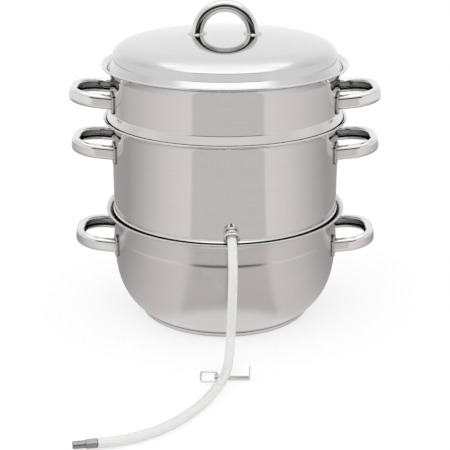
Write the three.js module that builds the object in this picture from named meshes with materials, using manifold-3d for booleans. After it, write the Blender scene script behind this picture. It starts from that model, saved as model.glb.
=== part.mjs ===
// Steam juicer: water pan, juice kettle with steam cone and drain hose, perforated
// fruit basket and lid, stacked by their flared rims.
// Millimetres, +Z up. The origin is the centre of the base, on the table. The side
// handles stand out along X, and the drain hose leaves towards -Y.
import * as THREE from 'three';
import { mergeVertices } from 'three/addons/utils/BufferGeometryUtils.js';
import Module from 'manifold-3d';

const wasm = await Module();
wasm.setup();

const degrees = THREE.MathUtils.degToRad;

// Sheet metal and fits
const SHEET = 0.8;
const SEAT_GAP = 0.3;
const NEST_GAP = 2.4;

// Vessel walls and their flared rims
const WALL_RADIUS = 130;
const RIM_REACH = 9;
const RIM_SWEEP = degrees(72);

// Water pan: lip above the table, belly, soft shoulder and capsule base
const PAN_HEIGHT = 127.1;
const PAN_BELLY_BULGE = 1.1;
const PAN_BELLY_TOP = 98;
const PAN_SHOULDER_RISE = 7;
const PAN_FOOT_SLOPE = degrees(39);
const PAN_FOOT_PULL = 34;
const PAN_BELLY_PULL = 41;
const BASE_RADIUS = 101;
const BASE_HEIGHT = 4.6;
const BASE_EDGE = 1.6;

// Juice kettle: lip above the pan's lip, and how far it nests below its seat
const KETTLE_RISE = 108.5;
const KETTLE_NEST = 7;
const KETTLE_CORNER = 3;

// Steam cone on the kettle's floor
const CONE_FOOT_RADIUS = 44;
const CONE_TOP_RADIUS = 18;
const CONE_HEIGHT = 74;
const CONE_FLANGE = 9;
const CONE_LIP = 2.5;

// Fruit basket: lip above the kettle's lip, depth, bead below a crease, and sieve holes
const BASKET_RISE = 60.2;
const BASKET_DEPTH = 101;
const BASKET_CORNER = 8;
const BASKET_CREASE_DROP = 52.7;
const BASKET_BEAD_DROP = 7;
const BASKET_BEAD_REACH = 4.2;
const HOLE_RADIUS = 3.2;
const HOLE_PITCH = 21;
const HOLE_RINGS = 5;

// Lid: rim overhang in the flare, side, shoulder and shallow dome
const LID_OVERHANG = 1.6;
const LID_SIDE_INSET = 4.5;
const LID_FLANGE_RISE = 8;
const LID_SIDE_RISE = 9;
const LID_SHOULDER_WIDTH = 25;
const LID_SHOULDER_RISE = 12.2;
const LID_DOME_RISE = 6.1;
const LID_SHOULDER_FULLNESS = 0.6;
const LID_SHOULDER_LEAN = degrees(35);

// Grips: a full round-cornered section for the side handles and the lid's arch
const GRIP_FULLNESS = 3.2;
const GRIP_THICKNESS = 11;
const GRIP_HEIGHT = 16;
const GRIP_REACH = 46.3;
const GRIP_SPREAD = 77;
const GRIP_CORNER = 26;
const GRIP_RISE = degrees(6);
const PAN_GRIP_DROP = 39.9;
const KETTLE_GRIP_DROP = 36.8;
const BASKET_GRIP_DROP = 38.9;
const BRACKET_WIDTH = 15;
const BRACKET_HEIGHT = 27;
const BRACKET_THICKNESS = 1.6;
const ARCH_RADIUS = 31;
const ARCH_THICKNESS = 13.6;
const ARCH_WIDTH = 16;
const ARCH_FOOT_LENGTH = 21;
const ARCH_FOOT_WIDTH = 17;
const ARCH_FOOT_THICKNESS = 1.2;

// Juice outlet low on the kettle's front, leaning down, with a bell collar
const OUTLET_HEIGHT = 140.4;
const OUTLET_TURN = degrees(3);
const OUTLET_LEAN = degrees(35);
const OUTLET_NECK_RADIUS = 5;
const OUTLET_NECK_LENGTH = 5;
const OUTLET_INNER_LENGTH = 4;
const BARB_RADIUS = 2.9;
const BARB_LENGTH = 10;
const BORE_RADIUS = 2.2;
const COLLAR_LENGTH = 11.5;
const COLLAR_WALL = 0.9;
const COLLAR_FLARE = 3;
const COLLAR_LIP = 1.2;

// Silicone hose: section, and its route from the outlet down to the table
const HOSE_RADIUS = 5;
const HOSE_BORE = 3.5;
const HOSE_ROUTE = [
  [7.03, -134.16, 137.36],
  [7.23, -138, 134.66],
  [7.45, -142.09, 131.8],
  [7.66, -146.18, 128.93],
  [8.1, -156.2, 118.9],
  [8.3, -162.2, 106],
  [8.2, -163.7, 95.3],
  [7.9, -164, 80],
  [7.4, -164, 64],
  [6.8, -164.1, 50],
  [6, -168, 32],
  [4.6, -178.6, 17.6],
  [2.1, -193.5, 9.2],
  [-0.8, -207, 7.3],
  [-6.9, -225, 6.4],
  [-15.4, -245.5, 5.6],
  [-25.4, -265, 5.5],
  [-37.2, -282.6, 5.5],
  [-52.2, -300, 5.5],
  [-71.4, -315.4, 5.5],
  [-92.6, -326.2, 5.5],
  [-105.3, -330, 5.5],
  [-118, -332.2, 5.5],
];

// End nozzle pushed into the hose
const NOZZLE_COLLAR_RADIUS = 5;
const NOZZLE_COLLAR_LENGTH = 11;
const NOZZLE_RADIUS = 3.75;
const NOZZLE_LENGTH = 12.5;

// Pinch clamp on the hose: a strip with a rolled eye and a hook, and a wire bail
const CLAMP_HINGE = new THREE.Vector3(-8.8, -200.5, 3.5);
const CLAMP_STRIP_WIDTH = 8;
const CLAMP_STRIP_THICKNESS = 1;
const CLAMP_STRIP_LENGTH = 35;
const CLAMP_HOOK_RISE = 12.5;
const CLAMP_HOOK_BEND = 2;
const CLAMP_EYE_WRAP = degrees(235);
const BAIL_LENGTH = 16.5;
const BAIL_WIDTH = 21;
const BAIL_WIRE = 2;
const BAIL_CORNER = 3;
const BAIL_BEVEL = 0.6;

// Facets round each turned piece, and steps along each curved run
const VESSEL_FACETS = 32;
const CONE_FACETS = 20;
const TUBE_FACETS = 12;
const GRIP_FACETS = 8;
const HOSE_FACETS = 8;
const HOLE_FACETS = 6;
const NOZZLE_COLLAR_FACETS = 6;
const RIM_STEPS = 4;
const BOWL_STEPS = 7;
const CORNER_STEPS = 3;
const BELL_STEPS = 4;
const CONE_STEPS = 4;
const SHOULDER_STEPS = 5;
const DOME_STEPS = 4;
const GRIP_STEPS = 12;
const ARCH_STEPS = 12;
const HOSE_STEPS = 25;
const EYE_STEPS = 9;

// Sizes that follow from the ones above
const RIM_RADIUS = RIM_REACH / (1 - Math.cos(RIM_SWEEP));
const RIM_RISE = (RIM_RADIUS + SHEET) * Math.sin(RIM_SWEEP);
const SKIRT_RADIUS = WALL_RADIUS - SHEET - NEST_GAP;
const PAN_LIP = PAN_HEIGHT;
const KETTLE_LIP = PAN_LIP + KETTLE_RISE;
const BASKET_LIP = KETTLE_LIP + BASKET_RISE;
const BELLY_RADIUS = WALL_RADIUS + PAN_BELLY_BULGE;

// Points and flat outlines

function at(x, y) {
  return new THREE.Vector2(x, y);
}

function at3(x, y, z) {
  return new THREE.Vector3(x, y, z);
}

function arc(centre, radius, from, to, steps) {
  return new THREE.EllipseCurve(centre.x, centre.y, radius, radius, from, to, to < from).getPoints(steps);
}

function bezier(start, pullStart, pullEnd, end, steps) {
  return new THREE.CubicBezierCurve(start, pullStart, pullEnd, end).getPoints(steps);
}

// One run of points out of several, without the doubled points where they meet.
function joinRuns(...runs) {
  const points = runs.flat();
  return points.filter((point, i) => i === 0 || point.distanceTo(points[i - 1]) > 1e-6);
}

// The other face of a sheet: a copy of a face shifted to the left of its direction.
function offsetFace(face, distance) {
  const normals = face.slice(1).map((point, i) => {
    const along = point.clone().sub(face[i]).normalize();
    return at(-along.y, along.x);
  });
  return face.map((point, i) => {
    const before = normals[Math.max(i - 1, 0)];
    const after = normals[Math.min(i, normals.length - 1)];
    const mitre = before.clone().add(after).normalize();
    return point.clone().addScaledVector(mitre, distance / mitre.dot(before));
  });
}

// Closed outline of a sheet that lies to the left of a face.
function sheetOutline(face, thickness) {
  return [...face, ...offsetFace(face, thickness).reverse()];
}

// Solids

// Joins the doubled corners of a geometry and drops the triangles that close up.
function weld(geometry) {
  geometry.deleteAttribute('normal');
  geometry.deleteAttribute('uv');
  const welded = mergeVertices(geometry);
  const corners = welded.index.array;
  const kept = [];
  for (let i = 0; i < corners.length; i += 3) {
    const [a, b, c] = corners.slice(i, i + 3);
    if (a !== b && b !== c && c !== a) kept.push(a, b, c);
  }
  welded.setIndex(kept);
  return welded;
}

// Revolves an outline of (radius, height) points about Z.
function revolve(outline, facets) {
  const onAxis = outline[0].x === 0 && outline.at(-1).x === 0;
  const profile = onAxis ? outline : [...outline, outline[0]];
  return weld(new THREE.LatheGeometry(profile, facets).rotateX(Math.PI / 2));
}

function revolveRing(inner, outer, low, high, facets) {
  return revolve([at(inner, low), at(outer, low), at(outer, high), at(inner, high)], facets);
}

function revolveRod(radius, low, high, facets) {
  return revolve([at(0, low), at(radius, low), at(radius, high), at(0, high)], facets);
}

// Corners of a bar's section: an oval drawn out towards its enclosing rectangle.
function barSection(width, thickness) {
  const full = (part) => Math.sign(part) * Math.abs(part) ** (2 / GRIP_FULLNESS);
  return Array.from({ length: GRIP_FACETS }, (_, i) => {
    const turn = 2 * Math.PI * i / GRIP_FACETS;
    return at(full(Math.cos(turn)) * width / 2, full(Math.sin(turn)) * thickness / 2);
  });
}

// Sweeps a bar along a curve. Its width lies along the curve's first normal.
function sweepBar(curve, width, thickness, steps) {
  const section = new THREE.Shape(barSection(width, thickness));
  return weld(new THREE.ExtrudeGeometry(section, { steps, extrudePath: curve }));
}

function asSolid(geometry) {
  const mesh = new wasm.Mesh({
    numProp: 3,
    vertProperties: new Float32Array(geometry.attributes.position.array),
    triVerts: new Uint32Array(geometry.index.array),
  });
  return new wasm.Manifold(mesh);
}

function asGeometry(solid) {
  const mesh = solid.getMesh();
  const geometry = new THREE.BufferGeometry();
  geometry.setAttribute('position', new THREE.BufferAttribute(mesh.vertProperties, 3));
  geometry.setIndex(new THREE.BufferAttribute(mesh.triVerts, 1));
  return geometry;
}

// A plane path of lines and arcs, used as a level curve in space.
class LevelCurve extends THREE.Curve {
  constructor(path) {
    super();
    this.path = path;
  }

  getPoint(t, target = new THREE.Vector3()) {
    const point = this.path.getPoint(t);
    return target.set(point.x, point.y, 0);
  }
}

// Plate outline with round ends, long along its second axis.
function roundEnded(width, height) {
  const radius = width / 2;
  const straight = height / 2 - radius;
  const plate = new THREE.Shape();
  plate.absarc(0, straight, radius, 0, Math.PI);
  plate.absarc(0, -straight, radius, Math.PI, 2 * Math.PI);
  return plate;
}

// Finishes

const finishes = {
  satinSteel: { color: 0xc9c5c4, roughness: 0.28, metalness: 1 },
  lidSteel: { color: 0xd6d5d4, roughness: 0.24, metalness: 1 },
  polishedSteel: { color: 0xdcdcda, roughness: 0.08, metalness: 1 },
  aluminium: { color: 0xb9babc, roughness: 0.5, metalness: 1 },
  wireSteel: { color: 0xd0d0ce, roughness: 0.2, metalness: 1 },
  nozzleSteel: { color: 0x8e8d8b, roughness: 0.35, metalness: 1 },
  silicone: { color: 0xeaebe8, roughness: 0.4, metalness: 0 },
};

function addPart(group, name, geometry, finish) {
  const mesh = new THREE.Mesh(geometry, new THREE.MeshStandardMaterial(finishes[finish]));
  mesh.name = name;
  group.add(mesh);
  return mesh;
}

// Rims and seats shared by the vessels

// Outer face of the flared rim whose top edge is at the height of the lip.
function rimFace(lip) {
  const centre = at(WALL_RADIUS + RIM_RADIUS, lip - RIM_RISE);
  return arc(centre, RIM_RADIUS, Math.PI, Math.PI - RIM_SWEEP, RIM_STEPS);
}

// Height at which a corner of a given radius comes to rest in the flare of a rim.
function seatHeight(lip, radius) {
  const reach = RIM_RADIUS + SHEET + SEAT_GAP;
  const across = WALL_RADIUS + RIM_RADIUS - radius;
  return lip - RIM_RISE + Math.sqrt(reach * reach - across * across);
}

// Side handles: a loop that rises a little from the wall, with a curved bracket at each end

function gripLoop(wallRadius) {
  const arm = GRIP_SPREAD / 2;
  const root = Math.sqrt(wallRadius * wallRadius - arm * arm);
  const start = root - GRIP_THICKNESS / 2;
  const tip = WALL_RADIUS + GRIP_REACH - GRIP_THICKNESS / 2;
  const bend = tip - GRIP_CORNER;
  const middle = arm - GRIP_CORNER;
  const path = new THREE.Path();
  path.moveTo(start, -arm);
  path.lineTo(bend, -arm);
  path.absarc(bend, -middle, GRIP_CORNER, -Math.PI / 2, 0);
  path.lineTo(tip, middle);
  path.absarc(bend, middle, GRIP_CORNER, 0, Math.PI / 2);
  path.lineTo(start, arm);
  const bar = sweepBar(new LevelCurve(path), GRIP_HEIGHT, GRIP_THICKNESS, GRIP_STEPS);
  bar.translate(-root, 0, 0).rotateY(-GRIP_RISE).translate(root, 0, 0);
  return asSolid(bar);
}

function addSideHandles(group, vessel, wallRadius, height) {
  const bracketInner = wallRadius + SEAT_GAP;
  const bracketOuter = bracketInner + BRACKET_THICKNESS;
  const cutter = asSolid(revolveRod(bracketOuter + SEAT_GAP, -GRIP_HEIGHT, GRIP_HEIGHT, VESSEL_FACETS));
  const grip = asGeometry(gripLoop(wallRadius).subtract(cutter));

  const shell = asSolid(
    revolveRing(bracketInner, bracketOuter, -BRACKET_HEIGHT, BRACKET_HEIGHT, VESSEL_FACETS));
  const plate = new THREE.ExtrudeGeometry(roundEnded(BRACKET_WIDTH, BRACKET_HEIGHT), {
    depth: bracketOuter + GRIP_REACH,
    bevelEnabled: false,
    curveSegments: 2,
  });
  const [acrossWall, up, outward] = [at3(0, 1, 0), at3(0, 0, 1), at3(1, 0, 0)];
  plate.applyMatrix4(new THREE.Matrix4().makeBasis(acrossWall, up, outward));
  const armTurn = Math.asin(GRIP_SPREAD / 2 / bracketOuter);

  for (const [side, turn] of [['right', 0], ['left', Math.PI]]) {
    const carrier = new THREE.Group();
    carrier.position.z = height;
    carrier.rotation.z = turn;
    group.add(carrier);
    addPart(carrier, `${vessel}_handle_${side}`, grip, 'polishedSteel');
    for (const [end, sign] of [['front', -1], ['rear', 1]]) {
      const across = side === 'right' ? sign : -sign;
      const turned = weld(plate.clone().rotateZ(across * armTurn));
      const bracket = asGeometry(asSolid(turned).intersect(shell));
      addPart(carrier, `${vessel}_bracket_${side}_${end}`, bracket, 'polishedSteel');
    }
  }
}

// Water pan: bellied vessel on a capsule base of an aluminium core in a steel cap

function panShell() {
  const floor = BASE_HEIGHT + SEAT_GAP;
  const foot = at(BASE_RADIUS, floor);
  const footPull = at(
    BASE_RADIUS + PAN_FOOT_PULL * Math.cos(PAN_FOOT_SLOPE),
    floor + PAN_FOOT_PULL * Math.sin(PAN_FOOT_SLOPE));
  const bellyTop = at(BELLY_RADIUS, PAN_BELLY_TOP);
  const bellyPull = at(BELLY_RADIUS, PAN_BELLY_TOP - PAN_BELLY_PULL);
  const neck = at(WALL_RADIUS, PAN_BELLY_TOP + PAN_SHOULDER_RISE);
  const halfShoulder = PAN_SHOULDER_RISE / 2;
  const face = joinRuns(
    [at(0, floor)],
    bezier(foot, footPull, bellyPull, bellyTop, BOWL_STEPS),
    bezier(bellyTop, at(BELLY_RADIUS, bellyTop.y + halfShoulder),
      at(WALL_RADIUS, neck.y - halfShoulder), neck, CORNER_STEPS),
    rimFace(PAN_LIP));
  return revolve(sheetOutline(face, SHEET), VESSEL_FACETS);
}

function baseCap() {
  const edge = at(BASE_RADIUS - BASE_EDGE, BASE_EDGE);
  const face = joinRuns(
    [at(0, 0)],
    arc(edge, BASE_EDGE, -Math.PI / 2, 0, 2),
    [at(BASE_RADIUS, BASE_HEIGHT)]);
  return revolve(sheetOutline(face, SHEET), VESSEL_FACETS);
}

function baseCore() {
  const radius = BASE_RADIUS - SHEET - SEAT_GAP;
  const low = SHEET + SEAT_GAP;
  const edge = BASE_EDGE - SHEET;
  return revolve([
    at(0, low),
    at(radius - edge, low),
    at(radius, low + edge),
    at(radius, BASE_HEIGHT),
    at(0, BASE_HEIGHT),
  ], VESSEL_FACETS);
}

function waterPan() {
  const group = new THREE.Group();
  addPart(group, 'pan_shell', panShell(), 'satinSteel');
  addPart(group, 'base_core', baseCore(), 'aluminium');
  addPart(group, 'base_cap', baseCap(), 'satinSteel');
  addSideHandles(group, 'pan', BELLY_RADIUS, PAN_LIP - PAN_GRIP_DROP);
  return group;
}

// Juice kettle: straight wall, seated in the pan's flare, with a hole for the cone

const KETTLE_SEAT = seatHeight(PAN_LIP, WALL_RADIUS);
const KETTLE_FLOOR = KETTLE_SEAT - KETTLE_NEST;

// Frame of the outlet: local +Z runs outward and down, from the wall's outer face.
function outletFrame() {
  const turned = new THREE.Matrix4().makeRotationZ(OUTLET_TURN);
  const leaning = new THREE.Matrix4().makeRotationX(Math.PI / 2 + OUTLET_LEAN);
  const root = new THREE.Matrix4().makeTranslation(0, -WALL_RADIUS, OUTLET_HEIGHT);
  return turned.multiply(root).multiply(leaning);
}

function kettleShell() {
  const corner = at(SKIRT_RADIUS - KETTLE_CORNER, KETTLE_FLOOR + KETTLE_CORNER);
  const ledge = WALL_RADIUS - SKIRT_RADIUS;
  const face = joinRuns(
    [at(CONE_FOOT_RADIUS, KETTLE_FLOOR)],
    arc(corner, KETTLE_CORNER, -Math.PI / 2, 0, CORNER_STEPS),
    [at(SKIRT_RADIUS, KETTLE_SEAT - ledge), at(WALL_RADIUS, KETTLE_SEAT)],
    rimFace(KETTLE_LIP));
  const shell = asSolid(revolve(sheetOutline(face, SHEET), VESSEL_FACETS));
  const reach = 2 * OUTLET_NECK_RADIUS;
  const drill = revolveRod(OUTLET_NECK_RADIUS + SEAT_GAP, -reach, reach, TUBE_FACETS);
  return asGeometry(shell.subtract(asSolid(drill.applyMatrix4(outletFrame()))));
}

function steamCone() {
  const foot = KETTLE_FLOOR + SHEET + SEAT_GAP;
  const top = foot + CONE_HEIGHT;
  const inner = joinRuns(
    [at(CONE_TOP_RADIUS + CONE_LIP, top + CONE_LIP), at(CONE_TOP_RADIUS, top)],
    bezier(at(CONE_TOP_RADIUS, top), at(CONE_TOP_RADIUS, top - CONE_HEIGHT / 2),
      at(CONE_FOOT_RADIUS, foot + CONE_HEIGHT / 3), at(CONE_FOOT_RADIUS, foot), CONE_STEPS),
    [at(CONE_FOOT_RADIUS + CONE_FLANGE, foot)]);
  return revolve(sheetOutline(inner, SHEET), CONE_FACETS);
}

function outletSpigot() {
  const shoulder = OUTLET_NECK_LENGTH;
  return revolve([
    at(BORE_RADIUS, -OUTLET_INNER_LENGTH),
    at(OUTLET_NECK_RADIUS, -OUTLET_INNER_LENGTH),
    at(OUTLET_NECK_RADIUS, shoulder),
    at(BARB_RADIUS, shoulder),
    at(BARB_RADIUS, shoulder + BARB_LENGTH),
    at(BORE_RADIUS, shoulder + BARB_LENGTH),
  ], TUBE_FACETS).applyMatrix4(outletFrame());
}

// Bell on the wall that hides the hose's end, open towards the hose.
function outletCollar() {
  const throat = Math.max(HOSE_RADIUS, OUTLET_NECK_RADIUS) + SEAT_GAP;
  const narrow = throat + COLLAR_WALL;
  const wide = narrow + COLLAR_FLARE;
  const mouth = COLLAR_LENGTH - COLLAR_LIP;
  const bend = COLLAR_LENGTH / 3;
  const bell = asSolid(revolve([
    at(throat, -COLLAR_LENGTH),
    at(narrow, -COLLAR_LENGTH),
    ...bezier(at(narrow, 0), at(narrow, bend), at(wide, bend), at(wide, mouth), BELL_STEPS),
    at(wide - COLLAR_LIP / 2, COLLAR_LENGTH),
    at(wide - COLLAR_LIP, mouth),
    at(throat, COLLAR_LENGTH / 2),
  ], TUBE_FACETS).applyMatrix4(outletFrame()));
  const wall = revolveRod(WALL_RADIUS + SEAT_GAP, KETTLE_FLOOR, KETTLE_LIP, VESSEL_FACETS);
  return asGeometry(bell.subtract(asSolid(wall)));
}

function hoseCurve() {
  return new THREE.CatmullRomCurve3(HOSE_ROUTE.map((point) => at3(...point)));
}

function drainHose() {
  const section = new THREE.Shape().absellipse(0, 0, HOSE_RADIUS, HOSE_RADIUS, 0, 2 * Math.PI);
  section.holes.push(new THREE.Path().absellipse(0, 0, HOSE_BORE, HOSE_BORE, 0, 2 * Math.PI));
  const options = { steps: HOSE_STEPS, extrudePath: hoseCurve(), curveSegments: HOSE_FACETS / 2 };
  return weld(new THREE.ExtrudeGeometry(section, options));
}

// Turned nozzle: barb inside the hose, six-sided collar and plain spout, bored through.
function endNozzle() {
  const collarEnd = SEAT_GAP + NOZZLE_COLLAR_LENGTH;
  const tip = collarEnd + NOZZLE_LENGTH;
  const chamfer = (NOZZLE_RADIUS - BORE_RADIUS) / 2;
  const turned = asSolid(revolve([
    at(0, -BARB_LENGTH),
    at(BARB_RADIUS, -BARB_LENGTH),
    at(BARB_RADIUS, SEAT_GAP + chamfer),
    at(NOZZLE_RADIUS, SEAT_GAP + chamfer),
    at(NOZZLE_RADIUS, tip - chamfer),
    at(NOZZLE_RADIUS - chamfer, tip),
    at(0, tip),
  ], TUBE_FACETS));
  const collar = asSolid(revolveRod(NOZZLE_COLLAR_RADIUS, SEAT_GAP, collarEnd, NOZZLE_COLLAR_FACETS));
  const bore = asSolid(revolveRod(BORE_RADIUS, -2 * BARB_LENGTH, 2 * tip, TUBE_FACETS));
  const along = new THREE.Quaternion().setFromUnitVectors(at3(0, 0, 1), hoseCurve().getTangent(1));
  const end = at3(...HOSE_ROUTE.at(-1));
  return asGeometry(turned.add(collar).subtract(bore)).applyQuaternion(along).translate(...end);
}

// Flat strip under the hose: an eye rolled round the bail's wire, and a hook.
function clampStrip() {
  const eyeInner = BAIL_WIRE / 2 + SEAT_GAP;
  const eyeOuter = eyeInner + CLAMP_STRIP_THICKNESS;
  const bendCentre = at(CLAMP_STRIP_LENGTH - CLAMP_HOOK_BEND, CLAMP_HOOK_BEND - eyeOuter);
  const face = joinRuns(
    arc(at(0, 0), eyeOuter, 1.5 * Math.PI - CLAMP_EYE_WRAP, 1.5 * Math.PI, EYE_STEPS),
    arc(bendCentre, CLAMP_HOOK_BEND, -Math.PI / 2, 0, CORNER_STEPS),
    [at(CLAMP_STRIP_LENGTH, CLAMP_HOOK_RISE - eyeOuter)]);
  const outline = new THREE.Shape(sheetOutline(face, CLAMP_STRIP_THICKNESS));
  const strip = new THREE.ExtrudeGeometry(outline, { depth: CLAMP_STRIP_WIDTH, bevelEnabled: false });
  return weld(strip.translate(0, 0, -CLAMP_STRIP_WIDTH / 2).rotateX(Math.PI / 2));
}

// Wire loop that turns in the strip's eye, lying open beside the hose.
function clampBail() {
  const loop = (grow) => {
    const half = BAIL_WIDTH / 2 + grow;
    const near = grow;
    const far = -BAIL_LENGTH - grow;
    const corner = BAIL_CORNER + grow;
    const shape = new THREE.Shape();
    shape.absarc(near - corner, half - corner, corner, 0, Math.PI / 2);
    shape.absarc(far + corner, half - corner, corner, Math.PI / 2, Math.PI);
    shape.absarc(far + corner, corner - half, corner, Math.PI, 1.5 * Math.PI);
    shape.absarc(near - corner, corner - half, corner, 1.5 * Math.PI, 2 * Math.PI);
    return shape;
  };
  const core = BAIL_WIRE / 2 - BAIL_BEVEL;
  const section = loop(core);
  section.holes.push(loop(-core));
  const wire = new THREE.ExtrudeGeometry(section, {
    depth: 2 * core,
    bevelThickness: BAIL_BEVEL,
    bevelSize: BAIL_BEVEL,
    bevelSegments: 1,
    curveSegments: 2,
  });
  return weld(wire.translate(0, 0, -core));
}

function juiceKettle() {
  const group = new THREE.Group();
  addPart(group, 'kettle_shell', kettleShell(), 'satinSteel');
  addPart(group, 'steam_cone', steamCone(), 'satinSteel');
  addSideHandles(group, 'kettle', WALL_RADIUS, KETTLE_LIP - KETTLE_GRIP_DROP);
  addPart(group, 'outlet_spigot', outletSpigot(), 'polishedSteel');
  addPart(group, 'outlet_collar', outletCollar(), 'polishedSteel');
  addPart(group, 'drain_hose', drainHose(), 'silicone');
  addPart(group, 'end_nozzle', endNozzle(), 'nozzleSteel');
  addPart(group, 'clamp_strip', clampStrip(), 'wireSteel').position.copy(CLAMP_HINGE);
  addPart(group, 'clamp_bail', clampBail(), 'wireSteel').position.copy(CLAMP_HINGE);
  return group;
}

// Fruit basket: wall, crease, slight taper to its seat, skirt and sieve floor

function basketShell() {
  const throat = WALL_RADIUS - SHEET;
  const seat = seatHeight(KETTLE_LIP, throat);
  const floor = BASKET_LIP - BASKET_DEPTH;
  const corner = at(SKIRT_RADIUS - BASKET_CORNER, floor + BASKET_CORNER);
  const crease = at(WALL_RADIUS, BASKET_LIP - BASKET_CREASE_DROP);
  const bead = at(WALL_RADIUS + BASKET_BEAD_REACH, crease.y - BASKET_BEAD_DROP);
  const face = joinRuns(
    [at(0, floor)],
    arc(corner, BASKET_CORNER, -Math.PI / 2, 0, CORNER_STEPS),
    [at(SKIRT_RADIUS, seat - (throat - SKIRT_RADIUS)), at(throat, seat)],
    [at(throat, bead.y - BASKET_BEAD_REACH - SHEET), bead, crease],
    rimFace(BASKET_LIP));
  let shell = asSolid(revolve(sheetOutline(face, SHEET), VESSEL_FACETS));
  const drill = revolveRod(HOLE_RADIUS, floor - SHEET, floor + 2 * SHEET, HOLE_FACETS);
  for (const [x, y] of holePlaces()) {
    shell = shell.subtract(asSolid(drill.clone().translate(x, y, 0)));
  }
  return asGeometry(shell);
}

// Sieve holes: one in the middle, and rings that each hold six more than the last.
function holePlaces() {
  const places = [[0, 0]];
  for (let ring = 1; ring <= HOLE_RINGS; ring += 1) {
    for (let i = 0; i < 6 * ring; i += 1) {
      const angle = (2 * Math.PI * i) / (6 * ring);
      places.push([ring * HOLE_PITCH * Math.cos(angle), ring * HOLE_PITCH * Math.sin(angle)]);
    }
  }
  return places;
}

function fruitBasket() {
  const group = new THREE.Group();
  addPart(group, 'basket_shell', basketShell(), 'satinSteel');
  addSideHandles(group, 'basket', WALL_RADIUS, BASKET_LIP - BASKET_GRIP_DROP);
  return group;
}

// Lid: shallow dome, round shoulder, upright side and a flange that rests in the flare

const LID_EDGE_RADIUS = WALL_RADIUS + LID_OVERHANG;
const LID_SIDE_RADIUS = WALL_RADIUS - LID_SIDE_INSET;
const LID_EDGE = seatHeight(BASKET_LIP, LID_EDGE_RADIUS);
const LID_SIDE_TOP = LID_EDGE + LID_FLANGE_RISE + LID_SIDE_RISE;
const LID_DOME_RADIUS = LID_SIDE_RADIUS - LID_SHOULDER_WIDTH;
const LID_DOME_EDGE = LID_SIDE_TOP + LID_SHOULDER_RISE;
const LID_TOP = LID_DOME_EDGE + LID_DOME_RISE;
const DOME_SPHERE = (LID_DOME_RADIUS ** 2 + LID_DOME_RISE ** 2) / (2 * LID_DOME_RISE);
const DOME_TURN = Math.asin(LID_DOME_RADIUS / DOME_SPHERE);

// Upper face of the dome from its edge to the middle, at a height above the sheet.
function domeFace(rise) {
  const centre = at(0, LID_TOP - DOME_SPHERE);
  const run = arc(centre, DOME_SPHERE + rise, Math.PI / 2 - DOME_TURN, Math.PI / 2, DOME_STEPS);
  run.at(-1).x = 0;
  return run;
}

function lidShell() {
  const shoulder = at(LID_SIDE_RADIUS, LID_SIDE_TOP);
  const domeEdge = at(LID_DOME_RADIUS, LID_DOME_EDGE);
  const sidePull = LID_SHOULDER_FULLNESS * LID_SHOULDER_RISE;
  const domePull = LID_SHOULDER_FULLNESS * LID_SHOULDER_WIDTH;
  const aboveSide = at(
    LID_SIDE_RADIUS - sidePull * Math.sin(LID_SHOULDER_LEAN),
    LID_SIDE_TOP + sidePull * Math.cos(LID_SHOULDER_LEAN));
  const beforeDome = at(
    LID_DOME_RADIUS + domePull * Math.cos(DOME_TURN),
    LID_DOME_EDGE - domePull * Math.sin(DOME_TURN));
  const face = joinRuns(
    [at(LID_EDGE_RADIUS, LID_EDGE), at(LID_SIDE_RADIUS, LID_EDGE + LID_FLANGE_RISE)],
    bezier(shoulder, aboveSide, beforeDome, domeEdge, SHOULDER_STEPS),
    domeFace(0));
  const under = offsetFace(face, SHEET).reverse();
  return revolve([...under, ...face], VESSEL_FACETS);
}

function archFoot(side) {
  const low = domeFace(SEAT_GAP);
  const high = domeFace(SEAT_GAP + ARCH_FOOT_THICKNESS);
  const layer = asSolid(revolve([...low.reverse(), ...high], VESSEL_FACETS));
  const plate = new THREE.ExtrudeGeometry(roundEnded(ARCH_FOOT_WIDTH, ARCH_FOOT_LENGTH), {
    depth: 2 * LID_DOME_RISE,
    bevelEnabled: false,
    curveSegments: 3,
  });
  plate.rotateZ(Math.PI / 2).translate(side * ARCH_RADIUS, 0, LID_TOP - LID_DOME_RISE);
  return asGeometry(asSolid(weld(plate)).intersect(layer));
}

function lidHandle() {
  const path = new THREE.Path();
  path.moveTo(ARCH_RADIUS, -LID_DOME_RISE);
  path.absarc(0, 0, ARCH_RADIUS, 0, Math.PI);
  path.lineTo(-ARCH_RADIUS, -LID_DOME_RISE);
  const arch = sweepBar(new LevelCurve(path), ARCH_WIDTH, ARCH_THICKNESS, ARCH_STEPS);
  const clear = 2 * SEAT_GAP + ARCH_FOOT_THICKNESS;
  const under = asSolid(revolve([at(0, 0), ...domeFace(clear)], VESSEL_FACETS));
  arch.rotateX(Math.PI / 2).translate(0, 0, LID_TOP);
  return asGeometry(asSolid(arch).subtract(under));
}

function lid() {
  const group = new THREE.Group();
  addPart(group, 'lid_shell', lidShell(), 'lidSteel');
  addPart(group, 'lid_handle', lidHandle(), 'polishedSteel');
  addPart(group, 'lid_handle_foot_right', archFoot(1), 'polishedSteel');
  addPart(group, 'lid_handle_foot_left', archFoot(-1), 'polishedSteel');
  return group;
}

const steamJuicer = new THREE.Group();
steamJuicer.add(waterPan(), juiceKettle(), fruitBasket(), lid());

export default steamJuicer;
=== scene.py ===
# Steam juicer of polished steel: a water pan, a juice kettle with its drain hose and clamp,
# a perforated fruit basket and a domed lid, stacked by their flared rims. Metres, +Z up,
# with the middle of the base's underside at the origin and the hose leaving towards -Y.
import math

import bpy
from mathutils import Matrix, Vector
from mathutils.geometry import interpolate_bezier


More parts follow.
